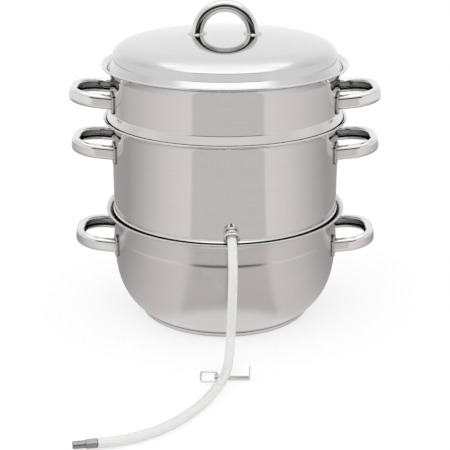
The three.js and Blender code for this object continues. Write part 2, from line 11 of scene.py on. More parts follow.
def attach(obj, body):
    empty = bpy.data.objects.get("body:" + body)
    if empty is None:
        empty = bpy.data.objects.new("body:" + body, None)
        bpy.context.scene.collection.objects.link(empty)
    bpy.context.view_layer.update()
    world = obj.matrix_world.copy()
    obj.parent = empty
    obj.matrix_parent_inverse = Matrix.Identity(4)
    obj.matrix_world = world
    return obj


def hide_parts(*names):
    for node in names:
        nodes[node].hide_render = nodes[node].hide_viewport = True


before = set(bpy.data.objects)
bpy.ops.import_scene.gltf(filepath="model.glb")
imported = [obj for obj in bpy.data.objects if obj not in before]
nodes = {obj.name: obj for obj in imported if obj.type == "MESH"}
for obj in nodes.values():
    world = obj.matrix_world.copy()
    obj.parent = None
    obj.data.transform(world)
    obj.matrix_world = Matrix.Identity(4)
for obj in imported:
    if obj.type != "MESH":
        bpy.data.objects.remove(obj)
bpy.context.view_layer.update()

# Studio: the camera stands a little above the lid and looks down on the stack. The floor and
# the surroundings are plain white for the camera. The steel sees a softer room: grey and white
# panels on the floor, a bright ceiling, and darkness beyond the paper's edge on the camera's side.
CAMERA_PLACE = (0.0, -1.1956, 0.5431)
CAMERA_TILT = math.radians(69.583)
CAMERA_LENS = 85.74
FLOOR_SIZE = 14.0
FLOOR_DROP = 0.0003
FLOOR_WHITE = (0.92, 0.92, 0.92, 1.0)
FLOOR_GLOW_SEEN = 0.7
FLOOR_GLOW_MIRRORED = 0.9
PANEL_TURN = math.radians(3.0)
# Levels of the floor, near the juicer and far from it, by degrees from the camera's side.
NEAR_PANELS = (
    (0.0, 0.67), (32.0, 0.67), (34.0, 0.87), (50.0, 0.83), (61.0, 0.76), (72.0, 0.68), (85.0, 0.56),
    (97.0, 0.46), (108.0, 0.37), (148.0, 0.34), (160.0, 0.74), (180.0, 0.91),
)
FAR_PANELS = (
    (0.0, 0.67), (32.0, 0.67), (34.0, 0.87), (50.0, 0.83), (62.0, 0.8), (73.0, 0.75), (86.0, 0.69),
    (98.0, 0.64), (108.0, 0.6), (120.0, 0.5), (160.0, 0.74), (180.0, 0.91),
)
FLOOR_WARMTH = (1.0, 0.955, 0.952)
FAR_RING = (0.86, 0.92)
PLAIN_RING = (1.36, 1.4)
PLAIN_SHARE = 0.8
SPOT_PLACE = (0.0, -0.085, 0.0)
SPOT_RING = (0.064, 0.09)
ROOM_WHITE = (1.0, 1.0, 1.0)
# Levels of the room by the height of a direction, and the back's share by degrees as above.
FRONT_LEVELS = (
    (0.0, 0.95), (0.35, 0.76), (0.6, 0.82), (0.76, 0.95), (0.82, 1.5), (0.87, 1.56), (1.0, 1.42),
)
BACK_LEVELS = ((0.0, 1.03), (0.64, 1.06), (0.79, 1.13), (0.92, 1.24), (1.0, 1.42))
BACK_SPAN = (
    (0.0, 0.0), (62.0, 0.0), (84.0, 0.4), (92.0, 0.4), (104.0, 0.08), (130.0, 0.6), (150.0, 1.0),
)
DARK_SPAN = ((0.0, 1.0), (32.0, 1.0), (40.0, 0.0))
DARK_FLOOR = (1.62, 1.68)
DARK_TOP = (0.28, 0.34)
DARK_COLOUR = (0.015, 0.015, 0.015, 1.0)
ROOM_LIGHT = 1.1
KEY_PLACE = (-0.9, -0.7, 1.7)
KEY_SIZE = 1.6
KEY_POWER = 7.0
FILL_PLACE = (1.1, -0.3, 1.3)
FILL_SIZE = 1.2
FILL_POWER = 2.5
LAMP_AIM = (0.0, 0.0, 0.15)

scene = bpy.context.scene
scene.view_settings.view_transform = "Standard"
bpy.ops.object.select_all(action="DESELECT")
bpy.ops.object.camera_add(location=CAMERA_PLACE, rotation=(CAMERA_TILT, 0.0, 0.0))
camera = bpy.context.object
camera.data.lens = CAMERA_LENS
scene.camera = camera


def put(tree, kind, inputs=(), **settings):
    """Adds a node, sets its properties, and sets or links its inputs."""
    made = tree.nodes.new(kind)
    for name, value in settings.items():
        setattr(made, name, value)
    for socket, value in dict(inputs).items():
        if isinstance(value, bpy.types.NodeSocket):
            tree.links.new(value, made.inputs[socket])
        else:
            made.inputs[socket].default_value = value
    return made


def ramp(tree, factor, stops, low, high, warmth):
    """A ramp of (position, level) stops, where positions run from low to high."""
    made = put(tree, "ShaderNodeValToRGB", {"Fac": factor})
    elements = made.color_ramp.elements
    while len(elements) < len(stops):
        elements.new(1.0)
    for element, (place, level) in zip(elements, stops):
        element.position = (place - low) / (high - low)
        element.color = (*(level * part for part in warmth), 1.0)
    return made.outputs["Color"]


def panels_around(tree, direction, stops, warmth):
    """Colour of the studio at a direction, by the angle turned from the camera's side."""
    parts = put(tree, "ShaderNodeSeparateXYZ", {"Vector": direction}).outputs
    forward = put(tree, "ShaderNodeMath", {0: parts["Y"], 1: -1.0}, operation="MULTIPLY").outputs[0]
    turn = put(tree, "ShaderNodeMath", {0: parts["X"], 1: forward}, operation="ARCTAN2").outputs[0]
    from_middle = put(tree, "ShaderNodeMath", {0: turn, 1: PANEL_TURN}, operation="SUBTRACT").outputs[0]
    aside = put(tree, "ShaderNodeMath", {0: from_middle}, operation="ABSOLUTE").outputs[0]
    share = put(tree, "ShaderNodeMath", {0: aside, 1: math.pi}, operation="DIVIDE").outputs[0]
    return ramp(tree, share, stops, 0.0, 180.0, warmth)


bpy.ops.mesh.primitive_plane_add(size=FLOOR_SIZE, location=(0.0, 0.0, -FLOOR_DROP))
floor = bpy.context.object
floor.name = "studio_floor"
floor_paper = bpy.data.materials.new("floor_paper")
floor_paper.use_nodes = True
tree = floor_paper.node_tree
tree.nodes.clear()
rays = put(tree, "ShaderNodeLightPath").outputs
place = put(tree, "ShaderNodeTexCoord").outputs["Object"]
reach = put(tree, "ShaderNodeVectorMath", {0: place}, operation="LENGTH").outputs["Value"]
far_share = put(tree, "ShaderNodeMapRange", {
    "Value": reach, "From Min": FAR_RING[0], "From Max": FAR_RING[1],
}).outputs["Result"]
panels = put(tree, "ShaderNodeMix", {
    "Factor": far_share, "A": panels_around(tree, place, NEAR_PANELS, FLOOR_WARMTH),
    "B": panels_around(tree, place, FAR_PANELS, FLOOR_WARMTH),
}, data_type="RGBA")
plain_share = put(tree, "ShaderNodeMapRange", {
    "Value": reach, "From Min": PLAIN_RING[0], "From Max": PLAIN_RING[1], "To Max": PLAIN_SHARE,
}).outputs["Result"]
from_spot = put(tree, "ShaderNodeVectorMath", {
    0: place, 1: SPOT_PLACE,
}, operation="DISTANCE").outputs["Value"]
spot_share = put(tree, "ShaderNodeMapRange", {
    "Value": from_spot, "From Min": SPOT_RING[0], "From Max": SPOT_RING[1], "To Min": 1.0, "To Max": 0.0,
}).outputs["Result"]
white_share = put(tree, "ShaderNodeMath", {0: plain_share, 1: spot_share}, operation="MAXIMUM").outputs[0]
floor_colour = put(tree, "ShaderNodeMix", {
    "Factor": white_share, "A": panels.outputs["Result"], "B": (*ROOM_WHITE, 1.0),
}, data_type="RGBA").outputs["Result"]
paper = put(tree, "ShaderNodeBsdfDiffuse", {"Color": FLOOR_WHITE}).outputs[0]
white = put(tree, "ShaderNodeEmission", {"Color": (1.0, 1.0, 1.0, 1.0)}).outputs[0]
off_paper = put(tree, "ShaderNodeMapRange", {
    "Value": reach, "From Min": DARK_FLOOR[0], "From Max": DARK_FLOOR[1],
}).outputs["Result"]
dark_share = put(tree, "ShaderNodeMath", {
    0: panels_around(tree, place, DARK_SPAN, ROOM_WHITE), 1: off_paper,
}, operation="MULTIPLY").outputs[0]
floor_seen = put(tree, "ShaderNodeMix", {
    "Factor": dark_share, "A": floor_colour, "B": DARK_COLOUR,
}, data_type="RGBA")
mirrored = put(tree, "ShaderNodeEmission", {"Color": floor_seen.outputs["Result"]}).outputs[0]
seen_share = put(tree, "ShaderNodeMath", {
    0: rays["Is Camera Ray"], 1: FLOOR_GLOW_SEEN,
}, operation="MULTIPLY").outputs[0]
seen = put(tree, "ShaderNodeMixShader", {"Fac": seen_share, 1: paper, 2: white}).outputs[0]
in_steel = put(tree, "ShaderNodeMixShader", {
    "Fac": FLOOR_GLOW_MIRRORED, 1: paper, 2: mirrored,
}).outputs[0]
floor_look = put(tree, "ShaderNodeMixShader", {
    "Fac": rays["Is Glossy Ray"], 1: seen, 2: in_steel,
}).outputs[0]
put(tree, "ShaderNodeOutputMaterial", {"Surface": floor_look})
floor.data.materials.append(floor_paper)

room = bpy.data.worlds.new("studio_room")
room.use_nodes = True
scene.world = room
tree = room.node_tree
tree.nodes.clear()
rays = put(tree, "ShaderNodeLightPath").outputs
direction = put(tree, "ShaderNodeTexCoord").outputs["Generated"]
height = put(tree, "ShaderNodeSeparateXYZ", {"Vector": direction}).outputs["Z"]
lit_room = put(tree, "ShaderNodeMix", {
    "Factor": panels_around(tree, direction, BACK_SPAN, ROOM_WHITE),
    "A": ramp(tree, height, FRONT_LEVELS, 0.0, 1.0, ROOM_WHITE),
    "B": ramp(tree, height, BACK_LEVELS, 0.0, 1.0, ROOM_WHITE),
}, data_type="RGBA")
below_top = put(tree, "ShaderNodeMapRange", {
    "Value": height, "From Min": DARK_TOP[0], "From Max": DARK_TOP[1], "To Min": 1.0, "To Max": 0.0,
}, interpolation_type="SMOOTHSTEP").outputs["Result"]
dark_share = put(tree, "ShaderNodeMath", {
    0: panels_around(tree, direction, DARK_SPAN, ROOM_WHITE), 1: below_top,
}, operation="MULTIPLY").outputs[0]
whole_room = put(tree, "ShaderNodeMix", {
    "Factor": dark_share, "A": lit_room.outputs["Result"], "B": DARK_COLOUR,
}, data_type="RGBA")
in_mirrors = put(tree, "ShaderNodeBackground", {"Color": whole_room.outputs["Result"]}).outputs[0]
on_matt = put(tree, "ShaderNodeBackground", {
    "Color": (1.0, 1.0, 1.0, 1.0), "Strength": ROOM_LIGHT,
}).outputs[0]
backdrop = put(tree, "ShaderNodeBackground", {"Color": (1.0, 1.0, 1.0, 1.0)}).outputs[0]
lit = put(tree, "ShaderNodeMixShader", {
    "Fac": rays["Is Glossy Ray"], 1: on_matt, 2: in_mirrors,
}).outputs[0]
straight_through = put(tree, "ShaderNodeMath", {
    0: rays["Is Camera Ray"], 1: rays["Is Transmission Ray"],
}, operation="MAXIMUM").outputs[0]
all_rays = put(tree, "ShaderNodeMixShader", {"Fac": straight_through, 1: lit, 2: backdrop}).outputs[0]
put(tree, "ShaderNodeOutputWorld", {"Surface": all_rays})

for lamp_name, lamp_place, lamp_size, lamp_power in (
    ("key_softbox", KEY_PLACE, KEY_SIZE, KEY_POWER),
    ("fill_softbox", FILL_PLACE, FILL_SIZE, FILL_POWER),
):
    aim = (Vector(LAMP_AIM) - Vector(lamp_place)).to_track_quat("-Z", "Y").to_euler()
    bpy.ops.object.light_add(type="AREA", location=lamp_place, rotation=aim)
    lamp = bpy.context.object
    lamp.name = lamp_name
    lamp.data.size = lamp_size
    lamp.data.energy = lamp_power
    lamp.visible_glossy = False

# Water pan: pressed from one round sheet of stainless steel, bellied low down, with a soft
# shoulder under its neck and a flared rim that the next vessel nests in. Turned and polished.
SHEET = 0.0008
WALL_RADIUS = 0.130
BELLY_RADIUS = 0.1311
RIM_REACH = 0.009
RIM_SWEEP = math.radians(72.0)
RIM_RADIUS = RIM_REACH / (1.0 - math.cos(RIM_SWEEP))
RIM_RISE = (RIM_RADIUS + SHEET) * math.sin(RIM_SWEEP)
PAN_LIP = 0.1271
PAN_FLOOR = 0.0049
BASE_RADIUS = 0.101
BELLY_TOP = 0.0935
SHOULDER_RISE = 0.01
FOOT_SLOPE = math.radians(39.0)
FOOT_PULL = 0.034
BELLY_PULL = 0.041
LATHE_STEPS = 192
RIM_STEPS = 14
LIP_SWEEP = math.radians(7.4)
LIP_ROLL = 0.0005
LIP_TURN = 160.0
LIP_STEPS = 8
EDGE_ROUNDING = 0.00025
PAN_TINT = (0.625, 0.612, 0.606, 1.0)
PAN_ROUGHNESS = 0.22
# Painted shade: where nearby surfaces close in, a metal's colour is scaled down as far as this share,
# standing in for the shade in gaps, channels and narrow places.
DEEPEST_PAINTED_SHADE = 0.06
MARK_PITCHES = (1400.0, 90.0)
MARK_TURNS = 1.6
MARK_DEPTH = 0.00004


def draw(name, points):
    """An open line drawn by moving one vertex to the first point and extruding it to the rest."""
    bpy.ops.object.select_all(action="DESELECT")
    bpy.ops.mesh.primitive_plane_add(size=0.001)
    piece = bpy.context.object
    piece.name = name
    bpy.ops.object.mode_set(mode="EDIT")
    bpy.ops.mesh.merge(type="CENTER")
    bpy.ops.transform.translate(value=points[0])
    for before, after in zip(points, points[1:]):
        step = Vector(after) - Vector(before)
        bpy.ops.mesh.extrude_vertices_move(TRANSFORM_OT_translate={"value": step})
    bpy.ops.mesh.select_all(action="SELECT")
    return piece


def spun(name, outline):
    """Turns an outline of (radius, height) points once round the juicer's axis, facing outwards."""
    piece = draw(name, [(radius, 0.0, height) for radius, height in outline])
    bpy.ops.mesh.spin(steps=LATHE_STEPS, angle=2.0 * math.pi, center=(0, 0, 0), axis=(0, 0, 1))
    bpy.ops.mesh.select_all(action="SELECT")
    bpy.ops.mesh.remove_doubles(threshold=1e-6)
    bpy.ops.mesh.normals_make_consistent(inside=False)
    bpy.ops.object.mode_set(mode="OBJECT")
    if sum(face.area * face.normal.xy.dot(face.center.xy) for face in piece.data.polygons) < 0.0:
        bpy.ops.object.mode_set(mode="EDIT")
        bpy.ops.mesh.flip_normals()
        bpy.ops.object.mode_set(mode="OBJECT")
    return piece


def apply_modifier(piece, kind, **settings):
    """Gives the active piece a modifier and applies it at once."""
    bpy.context.view_layer.objects.active = piece
    bpy.ops.object.modifier_add(type=kind)
    modifier = piece.modifiers[-1]
    for name, value in settings.items():
        setattr(modifier, name, value)
    bpy.ops.object.modifier_apply(modifier=modifier.name)


def thicken(piece, wall, rounding=EDGE_ROUNDING):
    """Gives a sheet its thickness on the inner side and rounds its cut edges."""
    apply_modifier(piece, "SOLIDIFY", thickness=wall, offset=-1.0, use_even_offset=True)
    apply_modifier(piece, "BEVEL", width=rounding, segments=2,
                   limit_method="ANGLE", angle_limit=math.radians(60.0))


def pick(piece):
    """Makes a piece the only selected one and the active one."""
    bpy.ops.object.select_all(action="DESELECT")
    piece.select_set(True)
    bpy.context.view_layer.objects.active = piece


def smooth(piece, angle=30.0):
    """Shades a piece smooth, apart from edges sharper than the angle in degrees."""
    pick(piece)
    bpy.ops.object.shade_smooth_by_angle(angle=math.radians(angle))


def dress(piece, material, body, slot, *stands_for):
    """Gives a finished piece its material, the body it rides on and the nodes it stands for."""
    piece.data.materials.clear()
    piece.data.materials.append(material)
    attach(piece, body)
    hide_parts(*stands_for)


def arc(centre, radius, start, end, steps):
    """Points along an arc in the plane of radius and height, with angles in degrees."""
    turns = [math.radians(start + (end - start) * i / steps) for i in range(steps + 1)]
    return [(centre[0] + radius * math.cos(a), centre[1] + radius * math.sin(a)) for a in turns]


def sweep(start, start_pull, end_pull, end, steps):
    """Points along a smooth curve in the plane of radius and height."""
    corners = [Vector((x, 0.0, z)) for x, z in (start, start_pull, end_pull, end)]
    return [(point.x, point.z) for point in interpolate_bezier(*corners, steps + 1)]


def rim(lip):
    """Outer face of a flared rim whose edge, at the height of the lip, is rolled over downwards."""
    centre = Vector((WALL_RADIUS + RIM_RADIUS, lip - RIM_RISE))
    turn = math.pi - RIM_SWEEP + LIP_SWEEP
    roll_centre = centre + (RIM_RADIUS - LIP_ROLL) * Vector((math.cos(turn), math.sin(turn)))
    start = math.degrees(turn)
    return [
        *arc(centre, RIM_RADIUS, 180.0, start, RIM_STEPS),
        *arc(roll_centre, LIP_ROLL, start, start - LIP_TURN, LIP_STEPS)[1:],
    ]


def turned_marks():
    """Node group: faint rings that turning and polishing leave on sheet, by radius and height."""
    group = bpy.data.node_groups.new("turned_marks", "ShaderNodeTree")
    for name, kind in (("Tint", "NodeSocketColor"), ("Streaks", "NodeSocketFloat"),
                       ("Roughness", "NodeSocketFloat"), ("Spread", "NodeSocketFloat")):
        group.interface.new_socket(name, in_out="INPUT", socket_type=kind)
    for name, kind in (("Color", "NodeSocketColor"), ("Roughness", "NodeSocketFloat"),
                       ("Height", "NodeSocketFloat")):
        group.interface.new_socket(name, in_out="OUTPUT", socket_type=kind)
    given = put(group, "NodeGroupInput").outputs
    place = put(group, "ShaderNodeTexCoord").outputs["Object"]
    parts = put(group, "ShaderNodeSeparateXYZ", {"Vector": place}).outputs
    flat = put(group, "ShaderNodeCombineXYZ", {"X": parts["X"], "Y": parts["Y"]}).outputs[0]
    radius = put(group, "ShaderNodeVectorMath", {0: flat}, operation="LENGTH").outputs["Value"]
    compass = put(group, "ShaderNodeVectorMath", {0: flat}, operation="NORMALIZE").outputs["Vector"]
    slow = put(group, "ShaderNodeVectorMath", {
        0: compass, "Scale": MARK_TURNS,
    }, operation="SCALE").outputs["Vector"]
    slow_parts = put(group, "ShaderNodeSeparateXYZ", {"Vector": slow}).outputs
    rings = []
    for pitch in MARK_PITCHES:
        ring = put(group, "ShaderNodeMath", {0: radius, 1: pitch}, operation="MULTIPLY").outputs[0]
        rise = put(group, "ShaderNodeMath", {0: parts["Z"], 1: pitch}, operation="MULTIPLY").outputs[0]
        at = put(group, "ShaderNodeCombineXYZ", {
            "X": slow_parts["X"], "Y": slow_parts["Y"], "Z": ring,
        }).outputs[0]
        rings.append(put(group, "ShaderNodeTexNoise", {
            "Vector": at, "W": rise, "Scale": 1.0, "Detail": 2.0,
        }, noise_dimensions="4D").outputs[0])
    mixed = put(group, "ShaderNodeMath", {0: rings[0], 1: rings[1]}, operation="ADD").outputs[0]
    centred = put(group, "ShaderNodeMath", {0: mixed, 1: -1.0}, operation="ADD").outputs[0]
    streak = put(group, "ShaderNodeMath", {0: centred, 1: given["Streaks"], 2: 1.0},
                 operation="MULTIPLY_ADD").outputs[0]
    colour = put(group, "ShaderNodeVectorMath", {0: given["Tint"], "Scale": streak},
                 operation="SCALE").outputs["Vector"]
    rough = put(group, "ShaderNodeMath", {0: centred, 1: given["Spread"], 2: given["Roughness"]},
                operation="MULTIPLY_ADD").outputs[0]
    put(group, "NodeGroupOutput", {"Color": colour, "Roughness": rough, "Height": rings[0]})
    return group


TURNED_MARKS = turned_marks()


def painted_crevice_shade(tree, colour, reach, closed, clear):
    """Painted shade: a colour that goes dark where other surfaces within reach leave too small a share open,
    standing in for the shade that falls there.
    """
    openness = put(tree, "ShaderNodeAmbientOcclusion", {"Distance": reach}, samples=6).outputs["AO"]
    light = put(tree, "ShaderNodeMapRange", {
        "Value": openness, "From Min": closed, "From Max": clear, "To Min": DEEPEST_PAINTED_SHADE, "To Max": 1.0,
    }).outputs["Result"]
    return put(tree, "ShaderNodeVectorMath", {0: colour, "Scale": light}, operation="SCALE").outputs["Vector"]


def turned_steel(name, tint, roughness, streaks, spread, depth, crevice_shade_reach):
    """Polished sheet steel with turned marks, and painted shade where other surfaces close in."""
    material = bpy.data.materials.new(name)
    material.use_nodes = True
    tree = material.node_tree
    tree.nodes.clear()
    marks = put(tree, "ShaderNodeGroup", node_tree=TURNED_MARKS)
    for socket, value in (("Tint", tint), ("Streaks", streaks), ("Roughness", roughness), ("Spread", spread)):
        marks.inputs[socket].default_value = value
    bump = put(tree, "ShaderNodeBump", {
        "Height": marks.outputs["Height"], "Strength": depth, "Distance": MARK_DEPTH,
    }).outputs["Normal"]
    metal = put(tree, "ShaderNodeBsdfPrincipled", {
        "Base Color": painted_crevice_shade(tree, marks.outputs["Color"], crevice_shade_reach, closed=0.2, clear=0.6),
        "Roughness": marks.outputs["Roughness"], "Metallic": 1.0, "Normal": bump,
    }).outputs["BSDF"]
    put(tree, "ShaderNodeOutputMaterial", {"Surface": metal})
    return material


pan_steel = turned_steel("pan_steel", PAN_TINT, PAN_ROUGHNESS,
                         streaks=0.05, spread=0.05, depth=0.03, crevice_shade_reach=0.007)

foot = (BASE_RADIUS, PAN_FLOOR)
foot_pull = (BASE_RADIUS + FOOT_PULL * math.cos(FOOT_SLOPE), PAN_FLOOR + FOOT_PULL * math.sin(FOOT_SLOPE))
belly_top = (BELLY_RADIUS, BELLY_TOP)
neck = (WALL_RADIUS, BELLY_TOP + SHOULDER_RISE)
pan_body = spun("pan_body", [
    (0.0, PAN_FLOOR),
    *sweep(foot, foot_pull, (BELLY_RADIUS, BELLY_TOP - BELLY_PULL), belly_top, 40),
    *sweep(belly_top, (BELLY_RADIUS, BELLY_TOP + SHOULDER_RISE / 2),
           (WALL_RADIUS, neck[1] - SHOULDER_RISE / 2), neck, 8),
    *rim(PAN_LIP),
])
thicken(pan_body, SHEET)
smooth(pan_body)
dress(pan_body, pan_steel, "water_pan", "vessel_steel", "pan_shell")

# Capsule base: an aluminium disc that spreads the heat, closed in by a drawn steel cap. A
# fine dark seam shows between the cap and the pan.
BASE_HEIGHT = 0.0046
BASE_EDGE = 0.0016
CORE_TINT = (0.62, 0.62, 0.63, 1.0)

base_skin = spun("base_skin", [
    (0.0, 0.0),
    *arc((BASE_RADIUS - BASE_EDGE, BASE_EDGE), BASE_EDGE, -90.0, 0.0, 8),
    (BASE_RADIUS, BASE_HEIGHT),
])
thicken(base_skin, SHEET)
smooth(base_skin)
dress(base_skin, pan_steel, "water_pan", "vessel_steel", "base_cap")
core_aluminium = turned_steel("core_aluminium", CORE_TINT, 0.4,
                              streaks=0.08, spread=0.1, depth=0.1, crevice_shade_reach=0.001)
nodes["base_core"].data.materials.clear()
nodes["base_core"].data.materials.append(core_aluminium)

# Side handles: a hollow steel bar, open along its inner side, bent into a loop that rises a
# little and is polished to a mirror. Each end is welded to a plate curved to the wall.
GRIP_THICKNESS = 0.0092
GRIP_HEIGHT = 0.016
GRIP_TIP = WALL_RADIUS + 0.0459
GRIP_SPREAD = 0.078
GRIP_CORNER = 0.03
GRIP_RISE = math.radians(6.0)
GRIP_BEND = 0.0045
GRIP_LIP = 0.0038
GRIP_HOLLOW = 0.0065
GRIP_STEPS = 24
BRACKET_WIDTH = 0.015
BRACKET_HEIGHT = 0.027
BRACKET_THICKNESS = 0.0016
BRACKET_ROUNDING = 0.0005
BRACKET_CUT = 0.02
SEAT_GAP = 0.0003
WELD_SINK = 0.0003
PAN_GRIP_DROP = 0.0399
MIRROR_TINT = (0.75, 0.745, 0.737, 1.0)


def polished_steel(name, tint, roughness, smudge, crevice_shade_reach):
    """Mirror-polished steel, dulled here and there by handling, with painted shade where other surfaces close
    in.
    """
    material = bpy.data.materials.new(name)
    material.use_nodes = True
    tree = material.node_tree
    tree.nodes.clear()
    place = put(tree, "ShaderNodeTexCoord").outputs["Object"]
    cloud = put(tree, "ShaderNodeTexNoise", {"Vector": place, "Scale": 60.0, "Detail": 4.0}).outputs[0]
    rough = put(tree, "ShaderNodeMapRange", {
        "Value": cloud, "From Min": 0.35, "From Max": 0.75, "To Min": roughness, "To Max": roughness + smudge,
    }).outputs["Result"]
    shade = put(tree, "ShaderNodeMapRange", {
        "Value": cloud, "From Min": 0.3, "From Max": 0.7, "To Min": 1.0, "To Max": 0.95,
    }).outputs["Result"]
    colour = put(tree, "ShaderNodeVectorMath", {
        0: tint[:3], "Scale": shade,
    }, operation="SCALE").outputs["Vector"]
    metal = put(tree, "ShaderNodeBsdfPrincipled", {
        "Base Color": painted_crevice_shade(tree, colour, crevice_shade_reach, closed=0.45, clear=0.85),
        "Roughness": rough, "Metallic": 1.0,
    }).outputs["BSDF"]
    put(tree, "ShaderNodeOutputMaterial", {"Surface": metal})
    return material


# The handles' painted shade reaches furthest, blackening the channels inside the loops and the roots at the
# plates.
mirror_steel = polished_steel("mirror_steel", MIRROR_TINT, roughness=0.05, smudge=0.06, crevice_shade_reach=0.012)


def cylinder(radius, depth, height=0.0, sides=LATHE_STEPS):
    """A plain upright cylinder with its middle on the juicer's axis at a height."""
    bpy.ops.object.select_all(action="DESELECT")
    bpy.ops.mesh.primitive_cylinder_add(vertices=sides, radius=radius, depth=depth,
                                        location=(0.0, 0.0, height))
    bpy.ops.object.transform_apply(location=True, rotation=True, scale=True)
    return bpy.context.object


def cut(piece, cutter, operation):
    """Cuts a piece with another, which is then thrown away."""
    apply_modifier(piece, "BOOLEAN", operation=operation, object=cutter, solver="EXACT")
    bpy.data.objects.remove(cutter)


def turned_copy(piece, name, turn):
    """A copy of a piece, with its own mesh, turned about the juicer's axis."""
    pick(piece)
    bpy.ops.object.duplicate()
    copy = bpy.context.object
    copy.name = name
    copy.rotation_euler.z = turn
    bpy.ops.object.transform_apply(location=True, rotation=True, scale=True)
    return copy


def grip_section():
    """Outline of the hollow bar: a flat face with round corners, and a channel on the inner (+) side."""
    wide, high = GRIP_THICKNESS / 2, GRIP_HEIGHT / 2
    floor, mouth, face = wide - GRIP_HOLLOW, high - GRIP_LIP, 0.9 * (high - GRIP_BEND)
    return [
        *arc((wide - GRIP_LIP, mouth), GRIP_LIP, 0.0, 90.0, 6),
        *arc((GRIP_BEND - wide, high - GRIP_BEND), GRIP_BEND, 90.0, 180.0, 10),
        (-wide, face), (-wide, -face),
        *arc((GRIP_BEND - wide, GRIP_BEND - high), GRIP_BEND, 180.0, 270.0, 10),
        *arc((wide - GRIP_LIP, -mouth), GRIP_LIP, 270.0, 360.0, 6),
        *sweep((wide, -mouth), (floor, -mouth), (floor, -mouth), (floor, 0.0), 8)[1:],
        *sweep((floor, 0.0), (floor, mouth), (floor, mouth), (wide, mouth), 8)[1:],
    ]


def bent_grip(name, wall, height):
    """The right-hand loop: a bar pushed straight, bent round two corners and cut to its plates."""
    arm = GRIP_SPREAD / 2
    bend = GRIP_TIP - GRIP_THICKNESS / 2 - GRIP_CORNER
    middle = arm - GRIP_CORNER
    weld_place = (math.sqrt(wall ** 2 - arm ** 2), 0.0, height)
    root = weld_place[0] - GRIP_THICKNESS / 2
    piece = draw(name, [(root, across - arm, up + height) for across, up in grip_section()])
    bpy.ops.mesh.remove_doubles(threshold=1e-6)
    bpy.ops.mesh.extrude_region_move(TRANSFORM_OT_translate={"value": (bend - root, 0.0, 0.0)})
    bpy.ops.mesh.spin(steps=GRIP_STEPS, angle=-math.pi / 2, center=(bend, -middle, height), axis=(0, 0, 1))
    bpy.ops.mesh.extrude_region_move(TRANSFORM_OT_translate={"value": (0.0, 2 * middle, 0.0)})
    bpy.ops.mesh.spin(steps=GRIP_STEPS, angle=-math.pi / 2, center=(bend, middle, height), axis=(0, 0, 1))
    bpy.ops.mesh.extrude_region_move(TRANSFORM_OT_translate={"value": (root - bend, 0.0, 0.0)})
    bpy.ops.mesh.select_all(action="SELECT")
    bpy.ops.mesh.remove_doubles(threshold=1e-6)
    bpy.ops.mesh.fill_holes(sides=0)
    bpy.ops.mesh.select_all(action="SELECT")
    bpy.ops.mesh.normals_make_consistent(inside=False)
    bpy.ops.transform.rotate(value=GRIP_RISE, orient_axis="Y", center_override=weld_place)
    bpy.ops.object.mode_set(mode="OBJECT")
    plate_face = wall + SEAT_GAP + BRACKET_THICKNESS - WELD_SINK
    cut(piece, cylinder(plate_face, 4 * GRIP_HEIGHT, height), "DIFFERENCE")
    smooth(piece, 50.0)
    return piece


def curved_plate(name, wall, height):
    """A round-ended plate on the +X side, cut out of a sleeve that fits the wall."""
    inner = wall - WELD_SINK
    outer = wall + SEAT_GAP + BRACKET_THICKNESS
    low, high = height - BRACKET_HEIGHT, height + BRACKET_HEIGHT
    sleeve = spun("plate_sleeve", [(inner, low), (outer, low), (outer, high), (inner, high), (inner, low)])
    bpy.ops.object.select_all(action="DESELECT")
    bpy.ops.mesh.primitive_plane_add(size=1.0, location=(wall - BRACKET_CUT / 2, 0.0, height),
                                     rotation=(0.0, math.pi / 2, 0.0))
    piece = bpy.context.object
    piece.name = name
    piece.scale = (BRACKET_HEIGHT, BRACKET_WIDTH, 1.0)
    bpy.ops.object.transform_apply(location=True, rotation=True, scale=True)
    bpy.ops.object.mode_set(mode="EDIT")
    bpy.ops.mesh.select_all(action="SELECT")
    bpy.ops.mesh.bevel(offset=0.999 * BRACKET_WIDTH / 2, segments=12, affect="VERTICES")
    bpy.ops.mesh.select_all(action="SELECT")
    bpy.ops.mesh.extrude_region_move(TRANSFORM_OT_translate={"value": (BRACKET_CUT, 0.0, 0.0)})
    bpy.ops.mesh.select_all(action="SELECT")
    bpy.ops.mesh.normals_make_consistent(inside=False)
    bpy.ops.object.mode_set(mode="OBJECT")
    cut(piece, sleeve, "INTERSECT")
    apply_modifier(piece, "BEVEL", width=BRACKET_ROUNDING, segments=3,
                   limit_method="ANGLE", angle_limit=math.radians(50.0))
    smooth(piece, 40.0)
    return piece


def side_handles(vessel, body, wall, height):
    """A pair of loops and their four plates on a vessel's wall."""
    right = bent_grip(vessel + "_grip_right", wall, height)
    left = turned_copy(right, vessel + "_grip_left", math.pi)
    for piece, side in ((right, "right"), (left, "left")):
        dress(piece, mirror_steel, body, "handle_steel", f"{vessel}_handle_{side}")
    swing = math.asin(GRIP_SPREAD / 2 / (wall + SEAT_GAP + BRACKET_THICKNESS))
    pattern = curved_plate(vessel + "_plate", wall, height)
    for side, end, turn in (("right", "front", -swing), ("right", "rear", swing),
                            ("left", "front", math.pi + swing), ("left", "rear", math.pi - swing)):
        plate = turned_copy(pattern, f"{vessel}_plate_{side}_{end}", turn)
        dress(plate, mirror_steel, body, "handle_steel", f"{vessel}_bracket_{side}_{end}")
    bpy.data.objects.remove(pattern)


side_handles("pan", "water_pan", BELLY_RADIUS, PAN_LIP - PAN_GRIP_DROP)

